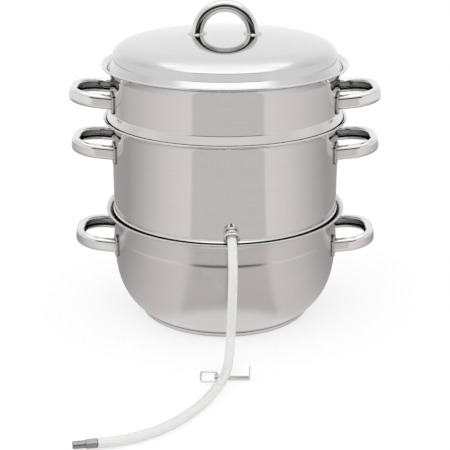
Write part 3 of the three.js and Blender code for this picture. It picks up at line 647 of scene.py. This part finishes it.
# Juice kettle: a straight steel vessel whose stepped skirt nests in the pan's flared rim, with a
# small rolled bead just inside the rim's lip. Its floor is open under the steam cone.
KETTLE_LIP = PAN_LIP + 0.1085
KETTLE_CORNER = 0.003
KETTLE_NEST = 0.007
KETTLE_BEAD_DROP = 0.0012
KETTLE_BEAD_REACH = 0.0013
KETTLE_BEAD_SLOPE = 0.0016
KETTLE_BEAD_BEND = 0.0003
KETTLE_BEAD_UNDER = Vector((1.0, 1.3))
KETTLE_GRIP_DROP = 0.0368
SKIRT_RADIUS = WALL_RADIUS - SHEET - 0.0024
CONE_FOOT_RADIUS = 0.044
VESSEL_TINT = (0.693, 0.682, 0.677, 1.0)
VESSEL_ROUGHNESS = 0.07

# The vessels' short painted shade darkens the narrow gaps where one rim nests in the next.
vessel_steel = turned_steel("vessel_steel", VESSEL_TINT, VESSEL_ROUGHNESS,
                            streaks=0.05, spread=0.05, depth=0.03, crevice_shade_reach=0.0045)


def seat_height(lip, radius):
    """Height at which a corner of a given radius rests in the flare of a rim."""
    reach = RIM_RADIUS + SHEET + SEAT_GAP
    across = WALL_RADIUS + RIM_RADIUS - radius
    return lip - RIM_RISE + math.sqrt(reach ** 2 - across ** 2)


KETTLE_SEAT = seat_height(PAN_LIP, WALL_RADIUS)
KETTLE_FLOOR = KETTLE_SEAT - KETTLE_NEST
ledge = WALL_RADIUS - SKIRT_RADIUS
kettle_bead = Vector((WALL_RADIUS + KETTLE_BEAD_REACH, PAN_LIP - KETTLE_BEAD_DROP))
above_bead = Vector((WALL_RADIUS, kettle_bead.y + KETTLE_BEAD_SLOPE))
bead_lean = (above_bead - kettle_bead).normalized()
kettle_body = spun("kettle_body", [
    (CONE_FOOT_RADIUS, KETTLE_FLOOR),
    *arc((SKIRT_RADIUS - KETTLE_CORNER, KETTLE_FLOOR + KETTLE_CORNER), KETTLE_CORNER, -90.0, 0.0, 8),
    *sweep((SKIRT_RADIUS, KETTLE_SEAT - ledge), (SKIRT_RADIUS, KETTLE_SEAT - ledge / 2),
           (WALL_RADIUS, KETTLE_SEAT - ledge / 3), (WALL_RADIUS, KETTLE_SEAT + ledge / 2), 10),
    kettle_bead - Vector((KETTLE_BEAD_REACH, KETTLE_BEAD_SLOPE)),
    *sweep(kettle_bead - KETTLE_BEAD_BEND * KETTLE_BEAD_UNDER, kettle_bead, kettle_bead,
           kettle_bead + KETTLE_BEAD_BEND * bead_lean, 6),
    *sweep(above_bead - KETTLE_BEAD_BEND * bead_lean, above_bead, above_bead,
           above_bead + Vector((0.0, KETTLE_BEAD_BEND)), 6),
    above_bead + Vector((0.0, 2 * KETTLE_BEAD_BEND)),
    *rim(KETTLE_LIP),
])
thicken(kettle_body, SHEET)
smooth(kettle_body)
dress(kettle_body, vessel_steel, "juice_kettle", "vessel_steel", "kettle_shell")
side_handles("kettle", "juice_kettle", WALL_RADIUS, KETTLE_LIP - KETTLE_GRIP_DROP)

# Steam cone: a drawn steel funnel welded round the hole in the kettle's floor, which carries
# the steam up to the fruit and keeps the juice off the pan.
CONE_TOP_RADIUS = 0.018
CONE_HEIGHT = 0.074
CONE_FLANGE = 0.009
CONE_LIP = 0.0025
CONE_BEND = 0.0025
CONE_BEND_OUT = 0.0035
CONE_WALL_START = 0.004

cone_foot = KETTLE_FLOOR + SHEET + SEAT_GAP
cone_top = cone_foot + CONE_HEIGHT
steam_funnel = spun("steam_funnel", [
    (CONE_FOOT_RADIUS + CONE_FLANGE, cone_foot + SHEET),
    *arc((CONE_FOOT_RADIUS + CONE_BEND_OUT, cone_foot + SHEET + CONE_BEND), CONE_BEND, 270.0, 190.0, 6),
    *sweep((CONE_FOOT_RADIUS + SHEET, cone_foot + CONE_WALL_START),
           (CONE_FOOT_RADIUS + SHEET, cone_foot + CONE_HEIGHT / 3),
           (CONE_TOP_RADIUS + SHEET, cone_top - CONE_HEIGHT / 2),
           (CONE_TOP_RADIUS + SHEET, cone_top), 30),
    (CONE_TOP_RADIUS + SHEET + CONE_LIP, cone_top + CONE_LIP),
])
thicken(steam_funnel, SHEET)
smooth(steam_funnel)
dress(steam_funnel, vessel_steel, "juice_kettle", "vessel_steel", "steam_cone")

# Juice outlet: a bored steel spigot through the kettle's wall, leaning down, inside a bell
# collar that covers the end of the hose. Both are polished.
OUTLET_HEIGHT = 0.1404
OUTLET_TURN = math.radians(3.0)
OUTLET_LEAN = math.radians(35.0)
SPIGOT_RADIUS = 0.005
SPIGOT_NECK = 0.005
SPIGOT_INNER = 0.004
SPIGOT_CHAMFER = 0.0006
BARB_RADIUS = 0.0029
BARB_LENGTH = 0.010
BORE_RADIUS = 0.0022
HOSE_RADIUS = 0.005
COLLAR_LENGTH = 0.0115
COLLAR_THROAT = HOSE_RADIUS + SEAT_GAP
COLLAR_NARROW = COLLAR_THROAT + 0.0009
COLLAR_WIDE = COLLAR_NARROW + 0.003
COLLAR_LIP = 0.0012
COLLAR_CUT = 0.08


def settle(piece, place):
    """Moves a piece that was made upright on the juicer's axis to its place, for good."""
    piece.matrix_world = place
    pick(piece)
    bpy.ops.object.transform_apply(location=True, rotation=True, scale=True)


outlet_place = (
    Matrix.Rotation(OUTLET_TURN, 4, "Z")
    @ Matrix.Translation((0.0, -WALL_RADIUS, OUTLET_HEIGHT))
    @ Matrix.Rotation(math.pi / 2 + OUTLET_LEAN, 4, "X")
)
spigot = spun("spigot", [
    (BORE_RADIUS, -SPIGOT_INNER),
    (SPIGOT_RADIUS - SPIGOT_CHAMFER, -SPIGOT_INNER),
    (SPIGOT_RADIUS, -SPIGOT_INNER + SPIGOT_CHAMFER),
    (SPIGOT_RADIUS, SPIGOT_NECK),
    (BARB_RADIUS, SPIGOT_NECK),
    (BARB_RADIUS, SPIGOT_NECK + BARB_LENGTH),
    (BORE_RADIUS, SPIGOT_NECK + BARB_LENGTH),
    (BORE_RADIUS, -SPIGOT_INNER),
])
settle(spigot, outlet_place)
smooth(spigot)
collar_steel = polished_steel("collar_steel", MIRROR_TINT, roughness=0.08, smudge=0.06, crevice_shade_reach=0.001)
dress(spigot, collar_steel, "juice_kettle", "handle_steel", "outlet_spigot")

mouth = COLLAR_LENGTH - COLLAR_LIP
bell = spun("outlet_bell", [
    (COLLAR_THROAT, -COLLAR_LENGTH),
    (COLLAR_NARROW, -COLLAR_LENGTH),
    *sweep((COLLAR_NARROW, 0.0), (COLLAR_NARROW, COLLAR_LENGTH / 3),
           (COLLAR_WIDE, COLLAR_LENGTH / 3), (COLLAR_WIDE, mouth), 16),
    *arc((COLLAR_WIDE - COLLAR_LIP / 2, mouth + COLLAR_LIP / 2), COLLAR_LIP / 2, 0.0, 180.0, 8),
    (COLLAR_WIDE - COLLAR_LIP, mouth),
    (COLLAR_THROAT, COLLAR_LENGTH / 2),
    (COLLAR_THROAT, -COLLAR_LENGTH),
])
settle(bell, outlet_place)
cut(bell, cylinder(WALL_RADIUS - WELD_SINK, COLLAR_CUT, OUTLET_HEIGHT), "DIFFERENCE")
smooth(bell)
dress(bell, collar_steel, "juice_kettle", "handle_steel", "outlet_collar")

# Drain hose: a smooth milky silicone tube, pushed on the spigot inside the bell. It leaves
# along the outlet, drops past the pan and lies on the table in one loose curve.
HOSE_WALL = 0.0015
HOSE_STEPS = 8
HOSE_ROUTE = (
    (0.00703, -0.13416, 0.13736), (0.00723, -0.138, 0.13466), (0.00745, -0.14209, 0.1318),
    (0.00766, -0.14618, 0.12893), (0.0081, -0.1562, 0.1189), (0.0083, -0.1622, 0.106),
    (0.0082, -0.1637, 0.0953), (0.0079, -0.164, 0.08), (0.0074, -0.164, 0.064),
    (0.0068, -0.1641, 0.05), (0.006, -0.168, 0.032), (0.0046, -0.1786, 0.0176),
    (0.0021, -0.1935, 0.0092), (-0.0008, -0.207, 0.0073), (-0.0069, -0.225, 0.0064),
    (-0.0154, -0.2455, 0.0056), (-0.0254, -0.265, 0.0055), (-0.0372, -0.2826, 0.0055),
    (-0.0522, -0.3, 0.0055), (-0.0714, -0.3154, 0.0055), (-0.0926, -0.3262, 0.0055),
    (-0.1053, -0.33, 0.0055), (-0.118, -0.3322, 0.0055),
)
HOSE_TINT = (0.68, 0.684, 0.672, 1.0)

hose_line = bpy.data.curves.new("hose_line", "CURVE")
hose_line.dimensions = "3D"
hose_line.bevel_depth = HOSE_RADIUS
hose_line.bevel_resolution = 8
hose_line.resolution_u = HOSE_STEPS
spline = hose_line.splines.new("BEZIER")
spline.bezier_points.add(len(HOSE_ROUTE) - 1)
for knot, spot in zip(spline.bezier_points, HOSE_ROUTE):
    knot.co = spot
    knot.handle_left_type = knot.handle_right_type = "AUTO"
hose = bpy.data.objects.new("silicone_hose", hose_line)
scene.collection.objects.link(hose)
bpy.context.view_layer.update()
hose_path = []
for knot, after in zip(spline.bezier_points, spline.bezier_points[1:]):
    hose_path += interpolate_bezier(
        knot.co, knot.handle_right, after.handle_left, after.co, HOSE_STEPS + 1,
    )[:-1]
hose_path.append(spline.bezier_points[-1].co)
hose_path = [tuple(spot) for spot in hose_path]
pick(hose)
bpy.ops.object.convert(target="MESH")
hose = bpy.context.object
apply_modifier(hose, "SOLIDIFY", thickness=HOSE_WALL, offset=-1.0, use_even_offset=True)
smooth(hose, 50.0)

silicone = bpy.data.materials.new("milky_silicone")
silicone.use_nodes = True
tree = silicone.node_tree
tree.nodes.clear()
place = put(tree, "ShaderNodeTexCoord").outputs["Object"]
cloud = put(tree, "ShaderNodeTexNoise", {"Vector": place, "Scale": 120.0, "Detail": 3.0}).outputs[0]
milk = put(tree, "ShaderNodeMapRange", {
    "Value": cloud, "From Min": 0.3, "From Max": 0.7, "To Min": 0.96, "To Max": 1.03,
}).outputs["Result"]
milk_colour = put(tree, "ShaderNodeVectorMath", {0: HOSE_TINT[:3], "Scale": milk}, operation="SCALE")
sheen = put(tree, "ShaderNodeMapRange", {
    "Value": cloud, "From Min": 0.3, "From Max": 0.7, "To Min": 0.28, "To Max": 0.4,
}).outputs["Result"]
skin = put(tree, "ShaderNodeBsdfPrincipled", {
    "Base Color": milk_colour.outputs["Vector"], "Roughness": sheen, "IOR": 1.41,
    "Subsurface Weight": 0.6, "Subsurface Radius": (1.0, 1.0, 0.9), "Subsurface Scale": 0.003,
}).outputs["BSDF"]
put(tree, "ShaderNodeOutputMaterial", {"Surface": skin})
dress(hose, silicone, "juice_kettle", "hose_silicone", "drain_hose")

# End nozzle: turned from six-sided steel bar, with a barb inside the hose, a collar that keeps
# its flats for a spanner, and a plain spout. It is bored through.
NOZZLE_COLLAR_RADIUS = 0.005
NOZZLE_COLLAR_LENGTH = 0.011
NOZZLE_RADIUS = 0.00365
NOZZLE_LENGTH = 0.0125
NOZZLE_CHAMFER = 0.0008
NOZZLE_MOUTH = 0.0004
NOZZLE_MOUTH_DEPTH = 0.0006
NOZZLE_EDGE = 0.0005
NOZZLE_CUT = 0.05
NOZZLE_TINT = (0.36, 0.355, 0.345, 1.0)

collar_end = SEAT_GAP + NOZZLE_COLLAR_LENGTH
tip = collar_end + NOZZLE_LENGTH
spout = spun("nozzle_spout", [
    (BORE_RADIUS, -BARB_LENGTH),
    (BARB_RADIUS, -BARB_LENGTH),
    (BARB_RADIUS, SEAT_GAP),
    (NOZZLE_RADIUS, SEAT_GAP + NOZZLE_CHAMFER),
    (NOZZLE_RADIUS, tip - NOZZLE_CHAMFER),
    (NOZZLE_RADIUS - NOZZLE_CHAMFER, tip),
    (BORE_RADIUS + NOZZLE_MOUTH, tip),
    (BORE_RADIUS, tip - NOZZLE_MOUTH_DEPTH),
    (BORE_RADIUS, -BARB_LENGTH),
])
hex_collar = cylinder(NOZZLE_COLLAR_RADIUS, NOZZLE_COLLAR_LENGTH,
                      SEAT_GAP + NOZZLE_COLLAR_LENGTH / 2, sides=6)
apply_modifier(hex_collar, "BEVEL", width=NOZZLE_EDGE, segments=3,
               limit_method="ANGLE", angle_limit=math.radians(30.0))
cut(hex_collar, cylinder(BORE_RADIUS + NOZZLE_MOUTH, NOZZLE_CUT, sides=48), "DIFFERENCE")
cut(spout, hex_collar, "UNION")
nozzle = spout
nozzle.name = "hose_nozzle"
end_run = (Vector(HOSE_ROUTE[-1]) - Vector(HOSE_ROUTE[-2])).normalized()
settle(nozzle, Matrix.Translation(HOSE_ROUTE[-1]) @ end_run.to_track_quat("Z", "Y").to_matrix().to_4x4())
smooth(nozzle)
nozzle_steel = polished_steel("nozzle_steel", NOZZLE_TINT, roughness=0.22, smudge=0.12, crevice_shade_reach=0.002)
dress(nozzle, nozzle_steel, "juice_kettle", "nozzle_steel", "end_nozzle")

# Pinch clamp: a bright spring-steel strip under the hose, rolled into an eye at one end and
# bent up into a hook at the other, and a wire bail that turns in the eye. It lies open.
CLAMP_HINGE = Vector((-0.0088, -0.2005, 0.0035))
STRIP_WIDTH = 0.008
STRIP_THICKNESS = 0.001
STRIP_LENGTH = 0.035
HOOK_RISE = 0.0125
HOOK_BEND = 0.002
EYE_WRAP = 235.0
BAIL_LENGTH = 0.0165
BAIL_WIDTH = 0.021
BAIL_WIRE = 0.002
BAIL_CORNER = 0.003
STRIP_ROUNDING = 0.0002
CLAMP_TINT = (0.93, 0.93, 0.92, 1.0)

eye = BAIL_WIRE / 2 + SEAT_GAP + STRIP_THICKNESS
strip_face = [
    *arc((0.0, 0.0), eye, 270.0 - EYE_WRAP, 270.0, 28),
    *arc((STRIP_LENGTH - HOOK_BEND, HOOK_BEND - eye), HOOK_BEND, -90.0, 0.0, 8),
    (STRIP_LENGTH, HOOK_RISE - eye),
]
strip = draw("clamp_strip_bent", [CLAMP_HINGE + Vector((x, -STRIP_WIDTH / 2, z)) for x, z in strip_face])
bpy.ops.mesh.extrude_region_move(TRANSFORM_OT_translate={"value": (0.0, STRIP_WIDTH, 0.0)})
bpy.ops.mesh.select_all(action="SELECT")
bpy.ops.mesh.remove_doubles(threshold=1e-6)
bpy.ops.mesh.normals_make_consistent(inside=False)
bpy.ops.object.mode_set(mode="OBJECT")
thicken(strip, STRIP_THICKNESS, STRIP_ROUNDING)
smooth(strip, 40.0)
clamp_steel = polished_steel("clamp_steel", CLAMP_TINT, roughness=0.4, smudge=0.1, crevice_shade_reach=0.001)
dress(strip, clamp_steel, "juice_kettle", "clamp_steel", "clamp_strip")

half = BAIL_WIDTH / 2 - BAIL_CORNER
far_bend = BAIL_LENGTH - BAIL_CORNER
bpy.ops.object.select_all(action="DESELECT")
bpy.ops.mesh.primitive_circle_add(vertices=20, radius=BAIL_WIRE / 2, rotation=(0.0, math.pi / 2, 0.0),
                                  location=CLAMP_HINGE + Vector((-BAIL_CORNER, BAIL_WIDTH / 2, 0.0)))
bail = bpy.context.object
bail.name = "clamp_bail_wire"
bpy.ops.object.transform_apply(location=True, rotation=True, scale=True)
bpy.ops.object.mode_set(mode="EDIT")
bpy.ops.mesh.select_all(action="SELECT")
for run, corner in (
    ((BAIL_CORNER - far_bend, 0.0), (-far_bend, half)),
    ((0.0, -2 * half), (-far_bend, -half)),
    ((far_bend - BAIL_CORNER, 0.0), (-BAIL_CORNER, -half)),
    ((0.0, 2 * half), (-BAIL_CORNER, half)),
):
    bpy.ops.mesh.extrude_region_move(TRANSFORM_OT_translate={"value": (*run, 0.0)})
    bpy.ops.mesh.spin(steps=8, angle=-math.pi / 2, axis=(0, 0, 1),
                      center=CLAMP_HINGE + Vector((*corner, 0.0)))
bpy.ops.mesh.select_all(action="SELECT")
bpy.ops.mesh.remove_doubles(threshold=1e-6)
bpy.ops.mesh.normals_make_consistent(inside=False)
bpy.ops.object.mode_set(mode="OBJECT")
smooth(bail, 50.0)
dress(bail, clamp_steel, "hose_clamp_bail", "clamp_steel", "clamp_bail")

# Fruit basket: a straight steel vessel that hangs deep in the kettle. A rolled bead, with a
# crease above it, rings the wall over its seat. The floor is a sieve of punched round holes.
BASKET_LIP = KETTLE_LIP + 0.0602
BASKET_FLOOR = BASKET_LIP - 0.101
BASKET_CORNER = 0.008
BASKET_LEDGE = 0.0024
BASKET_LEDGE_RISE = 0.001
BASKET_GRIP_DROP = 0.0389
BASKET_CREASE = BASKET_LIP - 0.0527
CREASE_BEND = 0.0011
BEAD_DROP = 0.0083
BEAD_REACH = 0.005
BEAD_BEND = 0.0009
HOLE_RADIUS = 0.0032
HOLE_SIDES = 24
HOLE_CUT = 0.004
HOLE_PITCH = 0.021
HOLE_RINGS = 5

throat = WALL_RADIUS - SHEET
basket_seat = seat_height(KETTLE_LIP, throat)
crease = Vector((WALL_RADIUS, BASKET_CREASE))
bead = Vector((WALL_RADIUS + BEAD_REACH, BASKET_CREASE - BEAD_DROP))
bead_foot = Vector((throat, bead.y - BEAD_REACH - SHEET))
bead_slope = (crease - bead).normalized()
under_slope = (bead - bead_foot).normalized()
basket_body = spun("basket_body", [
    (0.0, BASKET_FLOOR),
    *arc((SKIRT_RADIUS - BASKET_CORNER, BASKET_FLOOR + BASKET_CORNER), BASKET_CORNER, -90.0, 0.0, 12),
    *sweep((SKIRT_RADIUS, basket_seat - BASKET_LEDGE), (SKIRT_RADIUS, basket_seat - BASKET_LEDGE / 2),
           (throat, basket_seat - BASKET_LEDGE / 3), (throat, basket_seat + BASKET_LEDGE_RISE), 8),
    *sweep(bead_foot - Vector((0.0, BEAD_BEND)), bead_foot, bead_foot,
           bead_foot + BEAD_BEND * under_slope, 5),
    *sweep(bead - BEAD_BEND * under_slope, bead, bead, bead + BEAD_BEND * bead_slope, 6),
    *sweep(crease - CREASE_BEND * bead_slope, crease, crease, crease + Vector((0.0, CREASE_BEND)), 6),
    *rim(BASKET_LIP),
])
thicken(basket_body, SHEET)
punch = cylinder(HOLE_RADIUS, HOLE_CUT, BASKET_FLOOR, HOLE_SIDES)
punches = [punch]
for ring in range(1, HOLE_RINGS + 1):
    for i in range(6 * ring):
        turn = 2.0 * math.pi * i / (6 * ring)
        pick(punch)
        bpy.ops.object.duplicate()
        bpy.context.object.location = ring * HOLE_PITCH * Vector((math.cos(turn), math.sin(turn), 0.0))
        punches.append(bpy.context.object)
bpy.ops.object.select_all(action="DESELECT")
for tool in punches:
    tool.select_set(True)
bpy.context.view_layer.objects.active = punch
bpy.ops.object.join()
cut(basket_body, punch, "DIFFERENCE")
smooth(basket_body)
dress(basket_body, vessel_steel, "fruit_basket", "vessel_steel", "basket_shell")
side_handles("basket", "fruit_basket", WALL_RADIUS, BASKET_LIP - BASKET_GRIP_DROP)

# Lid: a shallow dome of finely polished steel with a sloping shoulder, an upright side and a
# flange that rests in the basket's flared rim. Its bends are tight.
LID_EDGE_RADIUS = WALL_RADIUS + 0.0016
LID_SIDE_RADIUS = WALL_RADIUS - 0.0045
LID_FLANGE_RISE = 0.008
LID_SIDE_RISE = 0.009
LID_SHOULDER_WIDTH = 0.025
LID_SHOULDER_RISE = 0.0122
LID_DOME_RISE = 0.0061
LID_FULLNESS = 0.6
LID_LEAN = math.radians(35.0)
LID_BEND = 0.0003
LID_TINT = (0.63, 0.63, 0.628, 1.0)

lid_edge = seat_height(BASKET_LIP, LID_EDGE_RADIUS)
side_top = lid_edge + LID_FLANGE_RISE + LID_SIDE_RISE
dome_radius = LID_SIDE_RADIUS - LID_SHOULDER_WIDTH
dome_edge = side_top + LID_SHOULDER_RISE
LID_TOP = dome_edge + LID_DOME_RISE
dome_sphere = (dome_radius ** 2 + LID_DOME_RISE ** 2) / (2.0 * LID_DOME_RISE)
dome_turn = math.asin(dome_radius / dome_sphere)
side_pull = LID_FULLNESS * LID_SHOULDER_RISE
dome_pull = LID_FULLNESS * LID_SHOULDER_WIDTH
flange_bend = Vector((LID_SIDE_RADIUS, lid_edge + LID_FLANGE_RISE))
lid_tip = Vector((LID_EDGE_RADIUS, lid_edge))
flange_run = (lid_tip - flange_bend).normalized() * LID_BEND
side_bend = Vector((LID_SIDE_RADIUS, side_top))
lean = Vector((-math.sin(LID_LEAN), math.cos(LID_LEAN)))
upright = Vector((0.0, LID_BEND))
shoulder_start = side_bend + LID_BEND * lean
lid_body = spun("lid_body", [
    lid_tip,
    lid_tip - flange_run,
    flange_bend + 2 * flange_run,
    *sweep(flange_bend + flange_run, flange_bend, flange_bend, flange_bend + upright, 6),
    flange_bend + 2 * upright,
    side_bend - 2 * upright,
    *sweep(side_bend - upright, side_bend, side_bend, shoulder_start, 6),
    *sweep(shoulder_start, side_bend + side_pull * lean,
           (dome_radius + dome_pull * math.cos(dome_turn), dome_edge - dome_pull * math.sin(dome_turn)),
           (dome_radius, dome_edge), 24)[1:],
    *arc((0.0, LID_TOP - dome_sphere), dome_sphere, 90.0 - math.degrees(dome_turn), 90.0, 24)[1:-1],
    (0.0, LID_TOP),
])
thicken(lid_body, SHEET)
smooth(lid_body)
lid_steel = turned_steel("lid_steel", LID_TINT, 0.05,
                         streaks=0.04, spread=0.04, depth=0.02, crevice_shade_reach=0.0015)
dress(lid_body, lid_steel, "lid", "lid_steel", "lid_shell")

# Lid handle: an oval steel bar bent into an arch and polished to a mirror, standing on two
# tapered leaf-shaped feet that are welded to the dome.
ARCH_RADIUS = 0.0308
ARCH_THICKNESS = 0.0136
ARCH_WIDTH = 0.016
ARCH_FULLNESS = 2.5
ARCH_SIDES = 48
ARCH_DROP = 0.0004
FOOT_LENGTH = 0.021
FOOT_WIDTH = 0.024
FOOT_THICKNESS = 0.0028
FOOT_TAPER = (0.8, 0.5, 1.0)
FOOT_POINT = 1.4
FOOT_STEPS = 16
FOOT_ROUNDING = 0.0003

arch_outline = []
for i in range(ARCH_SIDES + 1):
    turn = 2.0 * math.pi * i / ARCH_SIDES
    out, aside = (
        math.copysign(abs(part) ** (2.0 / ARCH_FULLNESS), part) for part in (math.cos(turn), math.sin(turn))
    )
    arch_outline.append((ARCH_RADIUS + out * ARCH_THICKNESS / 2, aside * ARCH_WIDTH / 2, LID_TOP - ARCH_DROP))
arch = draw("lid_arch", arch_outline)
bpy.ops.mesh.remove_doubles(threshold=1e-6)
bpy.ops.mesh.extrude_region_move(TRANSFORM_OT_translate={"value": (0.0, 0.0, ARCH_DROP)})
bpy.ops.mesh.spin(steps=64, angle=math.pi, center=(0.0, 0.0, LID_TOP), axis=(0, 1, 0))
bpy.ops.mesh.extrude_region_move(TRANSFORM_OT_translate={"value": (0.0, 0.0, -ARCH_DROP)})
bpy.ops.mesh.select_all(action="SELECT")
bpy.ops.mesh.remove_doubles(threshold=1e-6)
bpy.ops.mesh.fill_holes(sides=0)
bpy.ops.mesh.select_all(action="SELECT")
bpy.ops.mesh.normals_make_consistent(inside=False)
bpy.ops.object.mode_set(mode="OBJECT")
smooth(arch, 50.0)
arch_steel = polished_steel("arch_steel", MIRROR_TINT, roughness=0.04, smudge=0.04, crevice_shade_reach=0.001)
dress(arch, arch_steel, "lid", "handle_steel", "lid_handle")

foot_turn = math.asin(ARCH_RADIUS / dome_sphere)
foot_height = LID_TOP - dome_sphere * (1.0 - math.cos(foot_turn))
leaf = []
for side in (1, -1):
    for i in range(-FOOT_STEPS, FOOT_STEPS):
        along = side * i / FOOT_STEPS
        leaf.append((along * FOOT_LENGTH / 2, side * (1.0 - abs(along) ** FOOT_POINT) * FOOT_WIDTH / 2))
leaf.append(leaf[0])
foot_right = draw("arch_foot_right", [
    (ARCH_RADIUS + x, y, foot_height - x * math.tan(foot_turn)) for x, y in leaf
])
bpy.ops.mesh.remove_doubles(threshold=1e-6)
bpy.ops.mesh.edge_face_add()
bpy.ops.mesh.select_all(action="SELECT")
bpy.ops.mesh.extrude_region_move(TRANSFORM_OT_translate={"value": (0.0, 0.0, FOOT_THICKNESS)})
bpy.ops.transform.resize(value=FOOT_TAPER, center_override=(ARCH_RADIUS, 0.0, foot_height + FOOT_THICKNESS))
bpy.ops.mesh.select_all(action="SELECT")
bpy.ops.mesh.normals_make_consistent(inside=False)
bpy.ops.object.mode_set(mode="OBJECT")
apply_modifier(foot_right, "BEVEL", width=FOOT_ROUNDING, segments=3,
               limit_method="ANGLE", angle_limit=math.radians(50.0))
smooth(foot_right, 40.0)
foot_left = turned_copy(foot_right, "arch_foot_left", math.pi)
dress(foot_right, arch_steel, "lid", "handle_steel", "lid_handle_foot_right")
dress(foot_left, arch_steel, "lid", "handle_steel", "lid_handle_foot_left")
